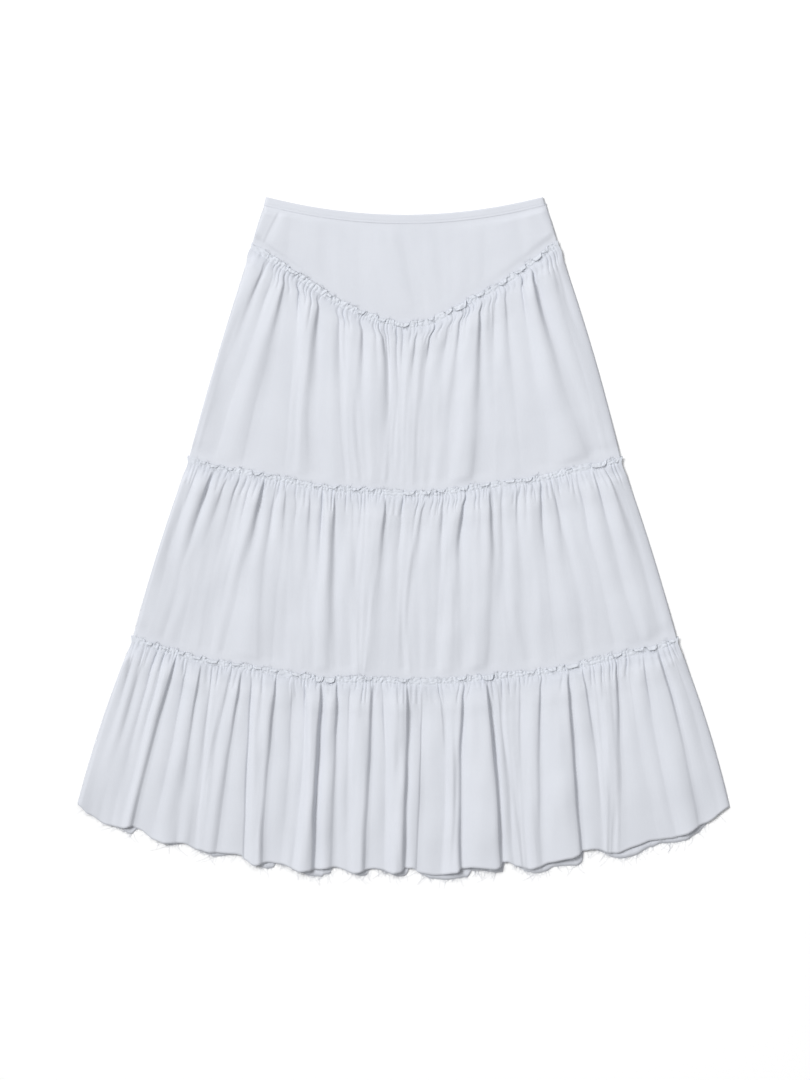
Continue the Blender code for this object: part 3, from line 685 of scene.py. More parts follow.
# ---- front of a tier
# how far folds spread at the lower end of a tier: sharpest, usual and softest
FOLD_SOFT = {1: (2.5, 5.0, 7.5), 2: (2.5, 5.0, 7.0), 3: (1.1, 2.3, 4.2)}
KEEP_STEPS = (0.3, 0.9, 1.0)  # shares of height held that go with them, softest first
FOLD_CRISP = 0.5  # spread at the upper end
SOFTEN = (0.04, 0.74)  # shares of the way down between which they go over into one another
SOFTEN_POWER = 0.8
RELIEF = {1: 1.05, 2: 1.05, 3: 1.02}  # height of the shell's folds against the solid's, which is stiffer
BROAD = {1: 1.4, 2: 1.4, 3: 1.9}  # height of the wide soft swells between the folds
LEVEL_SPREAD = 26.0  # width over which the mean level of the cloth is taken

# where something comes in below the middle of the frill or the waist seam, from nothing to all
COMES = {
    "puffs": (SEWN, SEWN + PUFF_FULL),
    "straight": (SEWN, SEWN + 18.0),  # gathers, square to the seam, turn to run down the tier
    "rolls": (CLEAR, CLEAR + 12.0),
    "fine_wander": (CLEAR, CLEAR + 15.0),
    "sides": (CLEAR, CLEAR + 20.0),
    "swells": (CLEAR, CLEAR + 30.0),
    "wander": (MERGE, MERGE + 60.0),
    "step": (-1.8, 0.0),
    "yoke": (0.0, 4.0),  # it comes out from between the waistbands
    "yoke_crease": (1.0, 6.0),
    "yoke_rolls": (1.0, 9.0),
    "yoke_folds": (1.0, 10.0),
}
WANDER_SIDE = 30.0  # the folds wander only from this distance to a side edge on
DESCENT = (7.0, 50.0)  # a tier comes down from the middle of its frill between these
EASE = 80.0  # distance over which a tier climbs to the frill below it
FADE = (20.0, 7.0)  # distances from that frill between which its folds are pressed flat
PRESSED = 0.16  # share of their height that is left there
SETTLE = (70.0, 7.0)  # and between which the tier as a whole sinks under it
SUNK = 0.15  # share of its own level that is left there
HEM_SINK = 3.2  # how far the cloth sinks towards the raw hem
HEM_REACH = 70.0
HEM_SIDE = 25.0


def coming(name, v):
    return between(v, *COMES[name])


def front_folds(number, line, x, v, t, seed):
    """Height of the large folds of a tier, crisp at its seam and softer on the way down."""
    uneven = 1.0 + wave("uneven_folds", seed, line["top"], v)
    lower_sigma = np.interp(line["keep"], KEEP_STEPS, FOLD_SOFT[number][::-1])
    sigma = mix(FOLD_CRISP, lower_sigma, between(t, *SOFTEN) ** SOFTEN_POWER)
    return softened(RELIEF[number] * fold_shape(line, t, uneven), x, sigma)


def front_rows(number, line, plan, gathers, seed):
    """x, down, height of the lower face and v, for the rows of a plan."""
    panel = "tier_%d" % number
    x_top = line["top"]
    start, v, length, t, x_line, away = laid_out(panel, number, line, plan, FRONT_HEM)
    left_over = length - v
    wander = wave("wander", seed, x_top, v) * coming("wander", v)
    wander = wander + wave("fine_wander", seed, x_top, v) * coming("fine_wander", v)
    x_line = x_line + wander * smooth(away / WANDER_SIDE)
    from_left, from_right = side_distances(panel, x_line, t)
    below = coming("sides", v)
    x_line = x_line - below * drawn_left(from_left)
    x, down = below_seam(number, x_top, start, v, x_line, coming("straight", v))

    height = mix(HEADING, FRONT_LOW, between(v, *DESCENT)) + lifted(away) + TOP_FACE
    swells = BROAD[number] * wave("broad_swells", seed, x_top, v) + wave("swells", seed, x_top, v)
    fine = stitched_puffs(gathers, x_top, v) + swells * coming("swells", v) + wave("crumple", seed, x_top, v)
    shape = front_folds(number, line, x, v, t, seed) * coming("puffs", v) + np.maximum(fine, -DEEPEST)
    rolls = side_rolls(from_left, from_right) * coming("rolls", v)
    if number < 3:
        height = height + (FRONT_LAP - FRONT_LOW) * between(left_over, EASE, LAP)
        level = softened(shape, x, LEVEL_SPREAD)
        flattened = (shape - level) * mix(1.0, PRESSED, between(left_over, *FADE))
        shape = level * mix(1.0, SUNK, between(left_over, *SETTLE)) + flattened
        rolls = rolls * mix(ROLL_LEFT, 1.0, between(left_over, *ROLL_LAID))
    else:
        height = height - HEM_SINK * between(left_over, HEM_REACH, 0.0) * smooth(away / HEM_SIDE)
    risen_left = smooth(from_left / mix(FRILL_RISE, LEFT_RISE, below))
    risen_right = smooth(from_right / mix(FRILL_RISE, SIDE_RISE[number], below))
    return x, down, height + shape * risen_left * risen_right + rolls, v


# ---- frills
FULL_CURL = 1.5  # roll of the table that turns the frill over down to its stitches
CURL_ENDS = 3.6  # length over which it comes up at either end


def roll_along(number, x):
    """Whether the frill is turned over at x, and how much of its width, both 0 to 1."""
    turned = np.zeros_like(x)
    much = np.zeros_like(x)
    for middle, half, roll in CURLS[number]:
        off = np.abs(x - middle)
        turned = np.maximum(turned, smooth((half + 0.5 * CURL_ENDS - off) / CURL_ENDS))
        arched = np.clip(1.0 - (off / (half + CURL_ENDS)) ** 2, 0.0, 1.0)
        much = np.maximum(much, roll / FULL_CURL * arched ** 0.5)
    return turned, much


def past_side(x, away):
    """How far a frill stands out past the side seams."""
    return np.where(x < 0.0, -FRILL_SIDE, FRILL_SIDE) * (1.0 - smooth(away / SIDE_REACH))


FRILL_SHARES = (0.0, 0.12, 0.24, 0.35, 0.44, 0.51, 0.58, 0.65, 0.72, 0.79, 0.86, 0.93, 1.0)
FRILL_ROWS = len(FRILL_SHARES) - 1
FRAYED = 1.2  # how much narrower a frill is than its solid, where threads have gone
FRILL_CALM = 6.0  # distance from a side edge over which its crinkles come in
FRILL_ENDS = 10.0  # and over which it comes up
CURL_ANGLE = 0.12  # usual curl of a frill, in radians
TURN_FROM = (0.84, 0.42)  # share of a frill's width where a slight and a full turn begin
TURN_RUN = 0.22  # share over which it bends
TURN_ANGLE = 2.75
TURN_CORNER = 0.5  # height left to its corners, where it stands on edge
TURN_HEIGHT = 1.15  # a turn is pressed a little flat
TURN_WIDTH = 4.5  # how much wider a frill is where it is turned over
DROOP = 0.6  # how much lower its raw edge lies than the stitches' puffs
LOWEST = 0.3  # how far a turned edge may come down below the stitches
LEANING = 0.55  # how far a puff of the frill leans over its neighbour
LEAN_POWER = 1.3
PLEAT_HIGH = (1.5, 0.7)  # height of its puffs at the stitches and at the raw edge
SCRUNCH_HIGH = (1.0, 0.6)  # share of the crinkles there
DENT = 0.8  # depth of its small dents
DENTED = (0.25, 0.55)  # strength of the noise between which they form
FREE = 0.25  # share of the width from which the stitches no longer hold it


def front_frill(number, line, gathers, seed):
    """The same for the frill, raw edge first, down to just above the stitch line."""
    x_top = line["top"]
    away = edge_distance("tier_%d" % number, x_top, 0.0)
    calm = smooth(away / FRILL_CALM)
    across, square = seam_normal(number, x_top)
    start = seam(number, x_top)
    turned, much = roll_along(number, x_top + wave("turn_wander", seed, x_top))
    turned = turned * calm
    reach = FRILL_UP - FRAYED + SEWN + 0.5 * FRILL_STRAY * line["stray"] + TURN_WIDTH * turned * much
    reach = reach + wave("raw_edge", seed, x_top) + wave("fine_raw_edge", seed, x_top)
    curl = (CURL_ANGLE + wave("frill_curl", seed, x_top)) * calm
    lean = FRILL_LEAN * wave("frill_lean", seed, x_top) * calm
    side = past_side(x_top, away)
    base = HEADING + TOP_FACE + lifted(away)
    stitched = stitched_puffs(gathers, x_top, SEWN)
    standing = TURN_HEIGHT * mix(1.0, TURN_CORNER, 4.0 * turned * (1.0 - turned))
    turn_from = mix(*TURN_FROM, much)
    rows = []
    up = np.zeros_like(x_top)
    rise = np.zeros_like(x_top)
    last = 0.0
    for share in FRILL_SHARES:
        half_way = 0.5 * (share + last)
        angle = curl * half_way + TURN_ANGLE * turned * smooth((half_way - turn_from) / TURN_RUN)
        up = up + np.cos(angle) * reach * (share - last)
        rise = rise + standing * np.sin(angle) * reach * (share - last)
        last = share
        v = SEWN - up
        waves = pleats(gathers, x_top, share)
        scrunch = wave("scrunch", seed, x_top, share) + wave("fine_scrunch", seed, x_top, share)
        scrunch = scrunch - DENT * between(wave("dents", seed, x_top, share), *DENTED)
        free = waves * mix(*PLEAT_HIGH, share) + mix(*SCRUNCH_HIGH, share) * scrunch * calm
        height = np.maximum(rise, -LOWEST) - DROOP * share
        height = height + np.maximum(mix(stitched, free, smooth(share / FREE)), -DEEPEST)
        x = x_top + across * v + (lean + side) * share ** LEAN_POWER + LEANING * lean * (waves - 0.5)
        rows.append((x, start + square * v, base + height * smooth(away / FRILL_ENDS), SEWN - share * reach))
    rows = rows[:0:-1]
    return [np.array([row[part] for row in rows]) for part in range(4)]


# ---- meshes
SHIFT_X = (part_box("waistband_front")[0].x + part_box("waistband_front")[1].x) / 2.0
SHIFT_Y = CAD_HIGH.y


def world(x, down, height):
    """Points in metres in the frame of the solids."""
    return np.stack([x * MM + SHIFT_X, SHIFT_Y - down * MM, height * MM], axis=-1)


def row_faces(counts):
    """Faces between rows with these numbers of points; a row may have half the columns of the one above."""
    faces = []
    upper = 0
    for count, after in zip(counts, counts[1:]):
        lower = upper + count
        b = lower + np.arange(after - 1)
        if count == after:
            a = upper + np.arange(after - 1)
            corners = [(b, b + 1, a + 1, a)]
        else:
            a = upper + 2 * np.arange(after - 1)
            corners = [(b, a + 1, a), (b, b + 1, a + 1), (b + 1, a + 2, a + 1)]
        for corner in corners:
            faces += np.stack(corner, axis=1).tolist()
        upper = lower
    return faces


def new_mesh(name, points, faces, material):
    mesh = bpy.data.meshes.new(name)
    mesh.from_pydata(points.tolist(), [], faces)
    mesh.materials.append(material)
    mesh.shade_smooth()
    mesh.update()
    piece = bpy.data.objects.new(name, mesh)
    bpy.context.scene.collection.objects.link(piece)
    return piece


def shell(name, rows, cut, thickness, material):
    """A sheet of cloth as a closed shell over rows of points; cut is their place on the flat cloth."""
    piece = new_mesh(name, np.concatenate(rows), row_faces([len(row) for row in rows]), material)
    flat = np.concatenate(cut)
    flat = np.concatenate([flat, np.zeros((len(flat), 1))], axis=1)
    place = piece.data.attributes.new("cut", "FLOAT_VECTOR", "POINT")
    place.data.foreach_set("vector", flat.astype(np.float32).ravel())
    skin = piece.modifiers.new("cloth", "SOLIDIFY")
    skin.thickness = thickness * MM
    skin.offset = 1.0
    return piece


def on_cut(across, down):
    return np.stack(np.broadcast_arrays(across, down), axis=-1)


# ---- materials
SKIRT_LIGHT = (0.662, 0.682, 0.733)
SKIRT_DARK = (0.627, 0.648, 0.700)
DYE_CLOUDS = (0.3, 0.7)  # values of the tone that are as dark and as light as that
FRILL_TINT = (0.988, 0.998, 1.003)  # the frills are a little bluer
PAINTED_GATHER_SHADE = (0.942, 0.949, 0.962)  # and painted shade: the colour of the gathers right below the stitches is darkened, standing in for the shade in their hollows
FRILL_TINT_TO_PAINTED_SHADE = (1.5, 4.5)  # distances down the tier over which the frill's tint goes over into that painted shade
PAINTED_SHADE_LOST = (4.0, 27.0)  # and over which the painted shade is lost
THREAD_PITCH = 0.42  # distance of two threads that lie the same way up
THREAD_RELIEF = 0.06
THREAD_COLOUR = (0.72, 0.74, 0.79)
THREAD_SHADE = 0.9


def node(tree, kind, inputs, output=0, **settings):
    """New node, with each input a constant or the output that feeds it; returns one of its outputs."""
    made = tree.nodes.new(kind)
    for key, value in settings.items():
        setattr(made, key, value)
    feed(tree, made, inputs)
    return made.outputs[output]


def feed(tree, made, inputs):
    for key, value in inputs.items():
        if isinstance(value, bpy.types.NodeSocket):
            tree.links.new(value, made.inputs[key])
        else:
            made.inputs[key].default_value = value


def matt(name, **inputs):
    """New material with these inputs of its shader, whose names have _ for a space."""
    material = bpy.data.materials.new(name)
    material.use_nodes = True
    tree = material.node_tree
    shader = tree.nodes["Principled BSDF"]
    feed(tree, shader, {key.replace("_", " "): value for key, value in inputs.items()})
    return material, tree, shader


def blended(tree, first, second, share, **settings):
    inputs = {"Factor": share, "A": first, "B": second}
    return node(tree, "ShaderNodeMix", inputs, "Result", data_type="RGBA", **settings)


def risen(tree, value, first, last):
    """0 before first and 1 after last, smooth between them."""
    inputs = {"Value": value, "From Min": first, "From Max": last}
    return node(tree, "ShaderNodeMapRange", inputs, interpolation_type="SMOOTHSTEP")


def cotton(name, gathered=False):
    """Plain-woven cotton: warp and weft threads, slubs and a faint cloudiness of the dye; gathered, it also
    has a bluer frill and painted shade in the gathers right below the stitches.
    """
    material, tree, shader = matt(
        name, Roughness=0.88, Specular_IOR_Level=0.25, Sheen_Weight=0.18, Sheen_Roughness=0.45)

    def maths(operation, *values):
        return node(tree, "ShaderNodeMath", dict(enumerate(values)), operation=operation)

    def weighted(*parts):
        first, *rest = [maths("MULTIPLY", value, share) for value, share in parts]
        for value in rest:
            first = maths("ADD", first, value)
        return first

    place = node(tree, "ShaderNodeAttribute", {}, "Vector", attribute_name="cut")
    split = node(tree, "ShaderNodeSeparateXYZ", {0: place}, "X").node
    across = split.outputs["X"]
    down = split.outputs["Y"]
    turns = 2.0 * math.pi / THREAD_PITCH
    warp = maths("SINE", maths("MULTIPLY", across, turns))
    weft = maths("SINE", maths("MULTIPLY", down, turns))
    weave = maths("MULTIPLY", warp, weft)

    def streaks(scale_x, scale_y, detail):
        scaled = node(tree, "ShaderNodeMapping", {"Scale": (scale_x, scale_y, 1.0), "Vector": place})
        inputs = {"Scale": 1.0, "Detail": detail, "Vector": scaled}
        return node(tree, "ShaderNodeTexNoise", inputs, "Fac")

    warp_slubs = streaks(1.6, 0.03, 2.0)
    weft_slubs = streaks(0.03, 1.6, 2.0)
    clouds = streaks(0.018, 0.014, 3.0)
    tone = weighted((clouds, 0.55), (warp_slubs, 0.25), (weft_slubs, 0.2))
    inputs = {"Value": tone, "From Min": DYE_CLOUDS[0], "From Max": DYE_CLOUDS[1]}
    shade = node(tree, "ShaderNodeMapRange", inputs)
    cloth_colour = blended(tree, (*SKIRT_DARK, 1.0), (*SKIRT_LIGHT, 1.0), shade)
    # tier fronts: a bluer frill, and painted shade that darkens the gathers right below the stitches
    if gathered:
        below = risen(tree, down, *FRILL_TINT_TO_PAINTED_SHADE)
        lost = risen(tree, down, *PAINTED_SHADE_LOST)
        on_frill = maths("SUBTRACT", 1.0, below)
        painted_shade_share = maths("SUBTRACT", below, lost)
        cloth_colour = blended(tree, cloth_colour, (*FRILL_TINT, 1.0), on_frill, blend_type="MULTIPLY")
        cloth_colour = blended(tree, cloth_colour, (*PAINTED_GATHER_SHADE, 1.0), painted_shade_share, blend_type="MULTIPLY")

    height = maths("ADD", maths("MULTIPLY", weave, 0.5), maths("ADD", warp_slubs, weft_slubs))
    relief = {"Strength": 0.6, "Distance": THREAD_RELIEF * MM, "Height": height}
    feed(tree, shader, {"Base Color": cloth_colour, "Normal": node(tree, "ShaderNodeBump", relief)})
    return material


def spun_thread(name, colour):
    material, tree, shader = matt(name, Roughness=0.85, Sheen_Weight=0.2)
    place = node(tree, "ShaderNodeTexCoord", {}, "Object")
    twist = node(tree, "ShaderNodeTexNoise", {"Scale": 900.0, "Vector": place}, "Fac")
    dark = [part * THREAD_SHADE for part in colour]
    feed(tree, shader, {"Base Color": blended(tree, (*dark, 1.0), (*colour, 1.0), twist)})
    return material


SKIRT = cotton("skirt_cotton")
# the tier fronts' cotton, with painted shade in the gathers below the stitches
TIER_COTTON_PAINTED_SHADE = cotton("gathered_cotton_painted_shade", gathered=True)
BAND = cotton("band_cotton")
THREAD = spun_thread("cotton_thread", THREAD_COLOUR)


# ---- cloth pieces
# width as cut, against the width at the seam
CUT_RATIO = {"yoke": 1.0, "tier_1": 1.45, "tier_2": 1.28, "tier_3": 1.38}
# fine columns from line to line, and on a steep side
COLUMN_STEPS = {1: (12, 10), 2: (10, 8), 3: (8, 8)}
PUFF_ROWS = ((0.0, SEWN), (0.0, 7.0), (0.0, MERGE))  # stops of the rows next to the stitches
OPEN_FROM = (0.0, MERGE + 3.0)  # first row with half as many columns


def make_tier_front(number, lines, seed):
    """The shell of a tier with its frill, and its rows of points, the frill's first."""
    panel = "tier_%d" % number
    gathers = gather_table(number, seed + 30)
    line = fine_columns(lines, *COLUMN_STEPS[number])
    sparse = {key: values[::2] for key, values in line.items()}
    upper_plan = (PUFF_ROWS, (5, 9))
    if number < 3:
        lower_plan = ((OPEN_FROM,) + LAPPED, (62, 9, 6))
    else:
        lower_plan = ((OPEN_FROM, (1.0, 0.0)), (70,))
    parts = [
        (line, front_frill(number, line, gathers, seed)),
        (line, front_rows(number, line, upper_plan, gathers, seed)),
        (sparse, front_rows(number, sparse, lower_plan, gathers, seed)),
    ]
    rows = []
    cut = []
    for columns, (x, down, height, v) in parts:
        rows += list(world(x, down, height))
        cut += list(on_cut(columns["top"] * CUT_RATIO[panel], v))
    return shell(panel + "_front_cloth", rows, cut, CLOTH, TIER_COTTON_PAINTED_SHADE), rows


YOKE_TOP = 3.0  # how far the yoke reaches under the waistband
YOKE_STEPS = (5, 9)
YOKE_ROWS = (6, 48, 8, 5)
YOKE_RELIEF = 0.85
YOKE_SOFT = 4.5  # spread of the yoke's creases
YOKE_SHARP = 1.2  # spread of the one at its left end
SHARP_END = (-165.0, -135.0)  # x between which one goes over into the other
YOKE_FAINT = 0.12  # mean height of the faint swells
YOKE_EASE = 110.0  # most distance over which the yoke climbs to the frill below it
YOKE_EASE_SHARE = 0.9  # and most share of its length
LAPPED_FLAT = 0.9  # share of its creases that is pressed flat there
BAND_STEP = 1.2  # how much higher it comes out from under the waistband
STEP_FALL = 11.0
STEP_SIDE = 5.0
YOKE_CREASE = {"top": -159.0, "mid": -173.0, "low": -185.0}
CREASE_STEP = 4.5  # width of the step down at the crease
CREASE_HIGH = (1.2, 2.5)  # height of the cloth before the step and past it
CREASE_REACH = (6.0, 6.0, 45.0)  # distances over which it comes up to the step, rises again and is lost
CREASE_LAID = (9.0, 15.0)  # pressed flat between these distances above the frill below
YOKE_ROLL_LAID = (9.0, 19.0)  # and so are the rolled sides


def yoke_crease(x, t):
    """Sharp crease near the left end: a step down, past which the cloth swells up again."""
    off = x - along(YOKE_CREASE, t)
    coming_up, rising, lost = CREASE_REACH
    before = np.exp(np.minimum(off, 0.0) / coming_up)
    past = np.maximum(off, 0.0)
    after = (1.0 - np.exp(-past / rising)) * np.exp(-past / lost)
    return mix(CREASE_HIGH[0] * before, CREASE_HIGH[1] * after, smooth(0.5 + off / CREASE_STEP))


def make_yoke_front(seed):
    line = fine_columns(fold_lines("yoke", curved(YOKE_FOLDS, 5), YOKE_PITCH, YOKE_SIDE), *YOKE_STEPS)
    plan = (((0.0, -YOKE_TOP), (0.0, YOKE_TOP)) + LAPPED, YOKE_ROWS)
    x_top = line["top"]
    start, v, length, t, x, away = laid_out("yoke", 0, line, plan)
    from_left, from_right = side_distances("yoke", x, np.maximum(t, 0.0))
    left_over = length - v
    lapped = between(left_over, np.minimum(YOKE_EASE, YOKE_EASE_SHARE * length), LAP)
    height = mix(FRONT_LOW, FRONT_LAP, lapped) + TOP_FACE
    height = mix(BAND_LEVEL, height, coming("yoke", v)) + lifted(away)
    fold = fold_shape(line, t, 1.0 + wave("uneven_yoke", seed, x_top, v))
    fold = softened(fold, x, mix(YOKE_SHARP, YOKE_SOFT, between(x, *SHARP_END)))
    faint = YOKE_FAINT + wave("yoke_swells", seed, x_top, v) + wave("yoke_crumple", seed, x_top, v)
    shape = YOKE_RELIEF * fold + np.maximum(faint, 0.0)
    level = softened(shape, x, LEVEL_SPREAD)
    pressed = between(left_over, SLOPE, LAP)
    shape = level * (1.0 - LAPPED_FLAT * lapped) + (shape - level) * (1.0 - LAPPED_FLAT * pressed)
    shape = shape * smooth(from_left / LEFT_RISE) * smooth(from_right / SIDE_RISE[0])
    crease = yoke_crease(x, t) * coming("yoke_crease", v) * between(left_over, *CREASE_LAID)
    step = BAND_STEP * coming("step", v) * np.exp(-np.maximum(v, 0.0) / STEP_FALL)
    rolls = side_rolls(from_left, from_right) * coming("yoke_rolls", v) * between(left_over, *YOKE_ROLL_LAID)
    height = height + shape * coming("yoke_folds", v) + rolls + (crease + step) * smooth(away / STEP_SIDE)
    x = x - coming("yoke_rolls", v) * drawn_left(from_left)
    return shell("yoke_front_cloth", world(x, start + v, height), on_cut(x_top, v), CLOTH, SKIRT)


BACK_CREASE = 1.1  # deepest trough of the underside, which lies flat
BACK_STEPS = {"yoke": 4, "tier_1": 6, "tier_2": 6, "tier_3": 4}
BACK_ROWS = (16, 36, 5, 4)
BACK_HEM_ROWS = (16, 44)
BACK_STITCH_ROW = 5
BACK_GATHER = 0.8  # height of the gathers' troughs
BACK_REACH = 30.0  # distance from the seam over which they are lost
BACK_GROOVE = (0.5, 2.0)  # depth and half width of the groove along the stitches
BACK_FLAT = 0.6  # share of them that is pressed flat over a frill


def make_back(panel, number, seed, rng):
    """A back panel: it lies flat on its creases, with shallow troughs between them."""
    lines = plain_lines(panel)
    if number:
        shaken(lines, rng)
    line = fine_columns(lines, BACK_STEPS[panel], BACK_STEPS[panel])
    first = ((0.0, -FRILL_UP if number else -YOKE_TOP), (0.0, MERGE))
    plan = (first + LAPPED, BACK_ROWS) if number < 3 else (first + ((1.0, 0.0),), BACK_HEM_ROWS)
    x_top = line["top"]
    start, v, length, _, x, away = laid_out(panel, number, line, plan, BACK_HEM)
    down = start + v
    lapped = between(length - v, SLOPE, LAP) if number < 3 else 0.0
    trough = np.abs(wave("back_creases", seed, x_top, v)) + wave("back_crumple", seed, x_top, v)
    if number:
        free = between(v, FRILL_DOWN, -FRILL_UP)
        x, down = below_seam(number, x_top, start, v, x, between(v, FRILL_DOWN, CLEAR))
        x = x + past_side(x_top, away) * free
        down = down - FRILL_STRAY * line["stray"] * free
        ridge = BACK_GATHER * line["ridge"] * line["vary"]
        gathered = np.exp(-np.abs(v - FRILL_DOWN) / BACK_REACH)
        trough = trough + gathered * (ridge + np.abs(wave("back_gathers", seed, x_top, v)))
        trough = trough + BACK_GROOVE[0] * bell(v - SEWN, BACK_GROOVE[1])
    trough = np.clip(trough, 0.0, BACK_CREASE) * smooth(away / SIDE_REACH)
    points = world(x, down, BACK_LAP * lapped + trough * (1.0 - BACK_FLAT * lapped))
    cut = on_cut(x_top * CUT_RATIO[panel], v)
    return shell(panel + "_back_cloth", points, cut, CLOTH, SKIRT), points


BAND_FINE = 220
BAND_ROWS = (0.0, 0.06, 0.14, 0.22, 0.30, 0.38, 0.50, 0.62, 0.69, 0.73, 0.77, 0.84, 0.92, 0.97, 1.0)
BAND_SEWN = (9, 10)  # rows on both sides of the edge stitching
BAND_LINE = (0.75, 0.035)  # share of the depth where that draws the strip in, and how wide
BAND_TURN = (0.30, 0.05)  # and where the turned edge inside shows faintly
TURN_SHARE = 0.3  # of the depth of the other
BAND_DRAWN = 0.26
BAND_SWELL = 0.5
BAND_ROUND = 0.12  # share of the depth over which its upper edge is rounded
BAND_THIN = (0.1, 0.5)  # the same for its lower edge, and the share of the swell left there
BAND_LOW = 0.15  # how far its face lies inside its solid's
BAND_ENDS = (3.0, 0.2)  # distance over which it swells at its ends, and share of that right there
BAND_DOWN = (0.5, 4.0)  # how far its ends come down, and over which distance
BACK_BAND = (0.35, 0.6)  # mean height of the lower face of the back, and share of the swell on it


def make_waistband(side):
    """Folded strip, pressed flat, with a row of stitching near its lower edge that draws it in."""
    column = np.linspace(-1.0, 1.0, BAND_FINE)
    depth = np.array(BAND_ROWS)[:, None]
    x = column * (WAIST_HALF + BAND_FLARE * depth)
    down = waist_top(x) + depth * BAND_DEPTH
    away = (1.0 - np.abs(column)) * WAIST_HALF
    lower = np.minimum((1.0 - depth) / BAND_THIN[0] + BAND_THIN[1], 1.0)
    rounded = np.minimum(depth / BAND_ROUND, 1.0) ** 0.5 * lower
    drawn = bell(depth - BAND_LINE[0], BAND_LINE[1]) + TURN_SHARE * bell(depth - BAND_TURN[0], BAND_TURN[1])
    pucker = np.abs(wave("band_pucker", 0, x, depth)) + wave("band_swell", 0, x, depth)
    swell = BAND_SWELL * rounded - BAND_DRAWN * drawn + pucker * (1.0 - np.minimum(drawn, 1.0))
    swell = swell * smooth(away / BAND_ENDS[0] + BAND_ENDS[1])
    if side == "front":
        level = BAND_LEVEL + BAND_WALL - BAND_CLOTH - BAND_LOW + lifted(away)
        height = level + swell - BAND_DOWN[0] * (1.0 - smooth(away / BAND_DOWN[1]))
    else:
        height = np.maximum(BACK_BAND[0] - BACK_BAND[1] * swell, 0.0)
    points = world(x, down, height)
    cut = on_cut(x, depth * BAND_DEPTH)
    return shell("waistband_" + side + "_cloth", points, cut, BAND_CLOTH, BAND), points


# ---- threads
ALMOST_UP = 0.9  # a strand this nearly upright takes its sides from x instead


def unit(vectors):
    return vectors / (np.linalg.norm(vectors, axis=-1, keepdims=True) + 1e-12)


def strands(name, centre, radius, sides=3):
    """Joined tubes: centre holds the points of every strand, radius the size at each point, in metres."""
    count, steps = centre.shape[:2]
    ahead = unit(np.gradient(centre, axis=1))
    up = np.where(np.abs(ahead[..., 2:3]) > ALMOST_UP, (1.0, 0.0, 0.0), (0.0, 0.0, 1.0))
    right = unit(np.cross(ahead, up))
    over = np.cross(right, ahead)
    turn = (2.0 * math.pi * np.arange(sides) / sides)[:, None]
    ring = right[:, :, None] * np.cos(turn) + over[:, :, None] * np.sin(turn)
    points = centre[:, :, None] + ring * radius[:, :, None, None]
    index = np.arange(count * steps * sides).reshape(count, steps, sides)
    near = index[:, :-1]
    far = index[:, 1:]
    faces = np.stack([near, np.roll(near, -1, 2), np.roll(far, -1, 2), far], axis=-1).reshape(-1, 4).tolist()
    faces += index[:, 0, ::-1].tolist()
    faces += index[:, -1].tolist()
    piece = new_mesh(name, points.reshape(-1, 3), faces, THREAD)
    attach(piece, "root")
    return piece


FRAY_POINTS = 5
FRAY_ENDS = (0.01, 0.99)  # shares of the edge between which threads come loose
FRAY_LEAST = 0.8  # shortest thread
FRAY_SHORT = 0.12  # the share of the longest added to it is the square of this to 1
FRAY_SWING = 0.55  # usual swing to a side, as a share of its length
FRAY_BEND = 0.5
FRAY_DROP = 0.35
FRAY_THICK = 1.7  # thickest, against the thinnest
FRAY_TIP = 0.55  # and the tip, against the root
FLOOR_CLEAR = 0.25  # least height over the surface


def fray(name, edge, inner, count, longest, seed, thinnest=0.08):
    """Loose threads that leave a raw edge, the way they run from inner, the next row of the cloth."""
    own = np.random.default_rng(seed)
    where = own.uniform(*FRAY_ENDS, count) * (len(edge) - 1)
    low = where.astype(int)
    part = (where - low)[:, None]
    root = mix(edge[low], edge[low + 1], part)
    ahead = unit(root - mix(inner[low], inner[low + 1], part))
    length = MM * (FRAY_LEAST + longest * own.uniform(FRAY_SHORT, 1.0, count)[:, None] ** 2.0)
    swing = own.normal(0.0, FRAY_SWING, (count, 2))[:, None, :1]
    bend = own.normal(0.0, FRAY_BEND, (count, 1))[:, None]
    side = np.stack([-ahead[:, 1], ahead[:, 0], np.zeros(count)], axis=1)
    share = np.linspace(0.0, 1.0, FRAY_POINTS)[:, None]
    along_side = side[:, None] * (swing * share + bend * share ** 2)
    centre = root[:, None] + (ahead[:, None] * share + along_side) * length[:, None]
    centre[..., 2] -= FRAY_DROP * length * own.uniform(0.0, 1.0, (count, 1)) * share[:, 0]
    centre[..., 2] = np.maximum(centre[..., 2], FLOOR_CLEAR * MM)
    thick = own.uniform(thinnest, FRAY_THICK * thinnest, (count, 1)) * MM
    return strands(name, centre, thick * np.linspace(1.0, FRAY_TIP, FRAY_POINTS))


# distance and length of stitches, thickness of their thread and how high they stand
SEAM_STITCH = (2.8, 2.1, 0.36, 0.2)
BAND_STITCH = (2.6, 2.0, 0.34, 0.16)
STITCH_POINTS = 4
STITCH_ENDS = 2  # columns left free at both ends of a seam
SUNK_IN = 0.1  # depth of a stitch's ends in the cloth


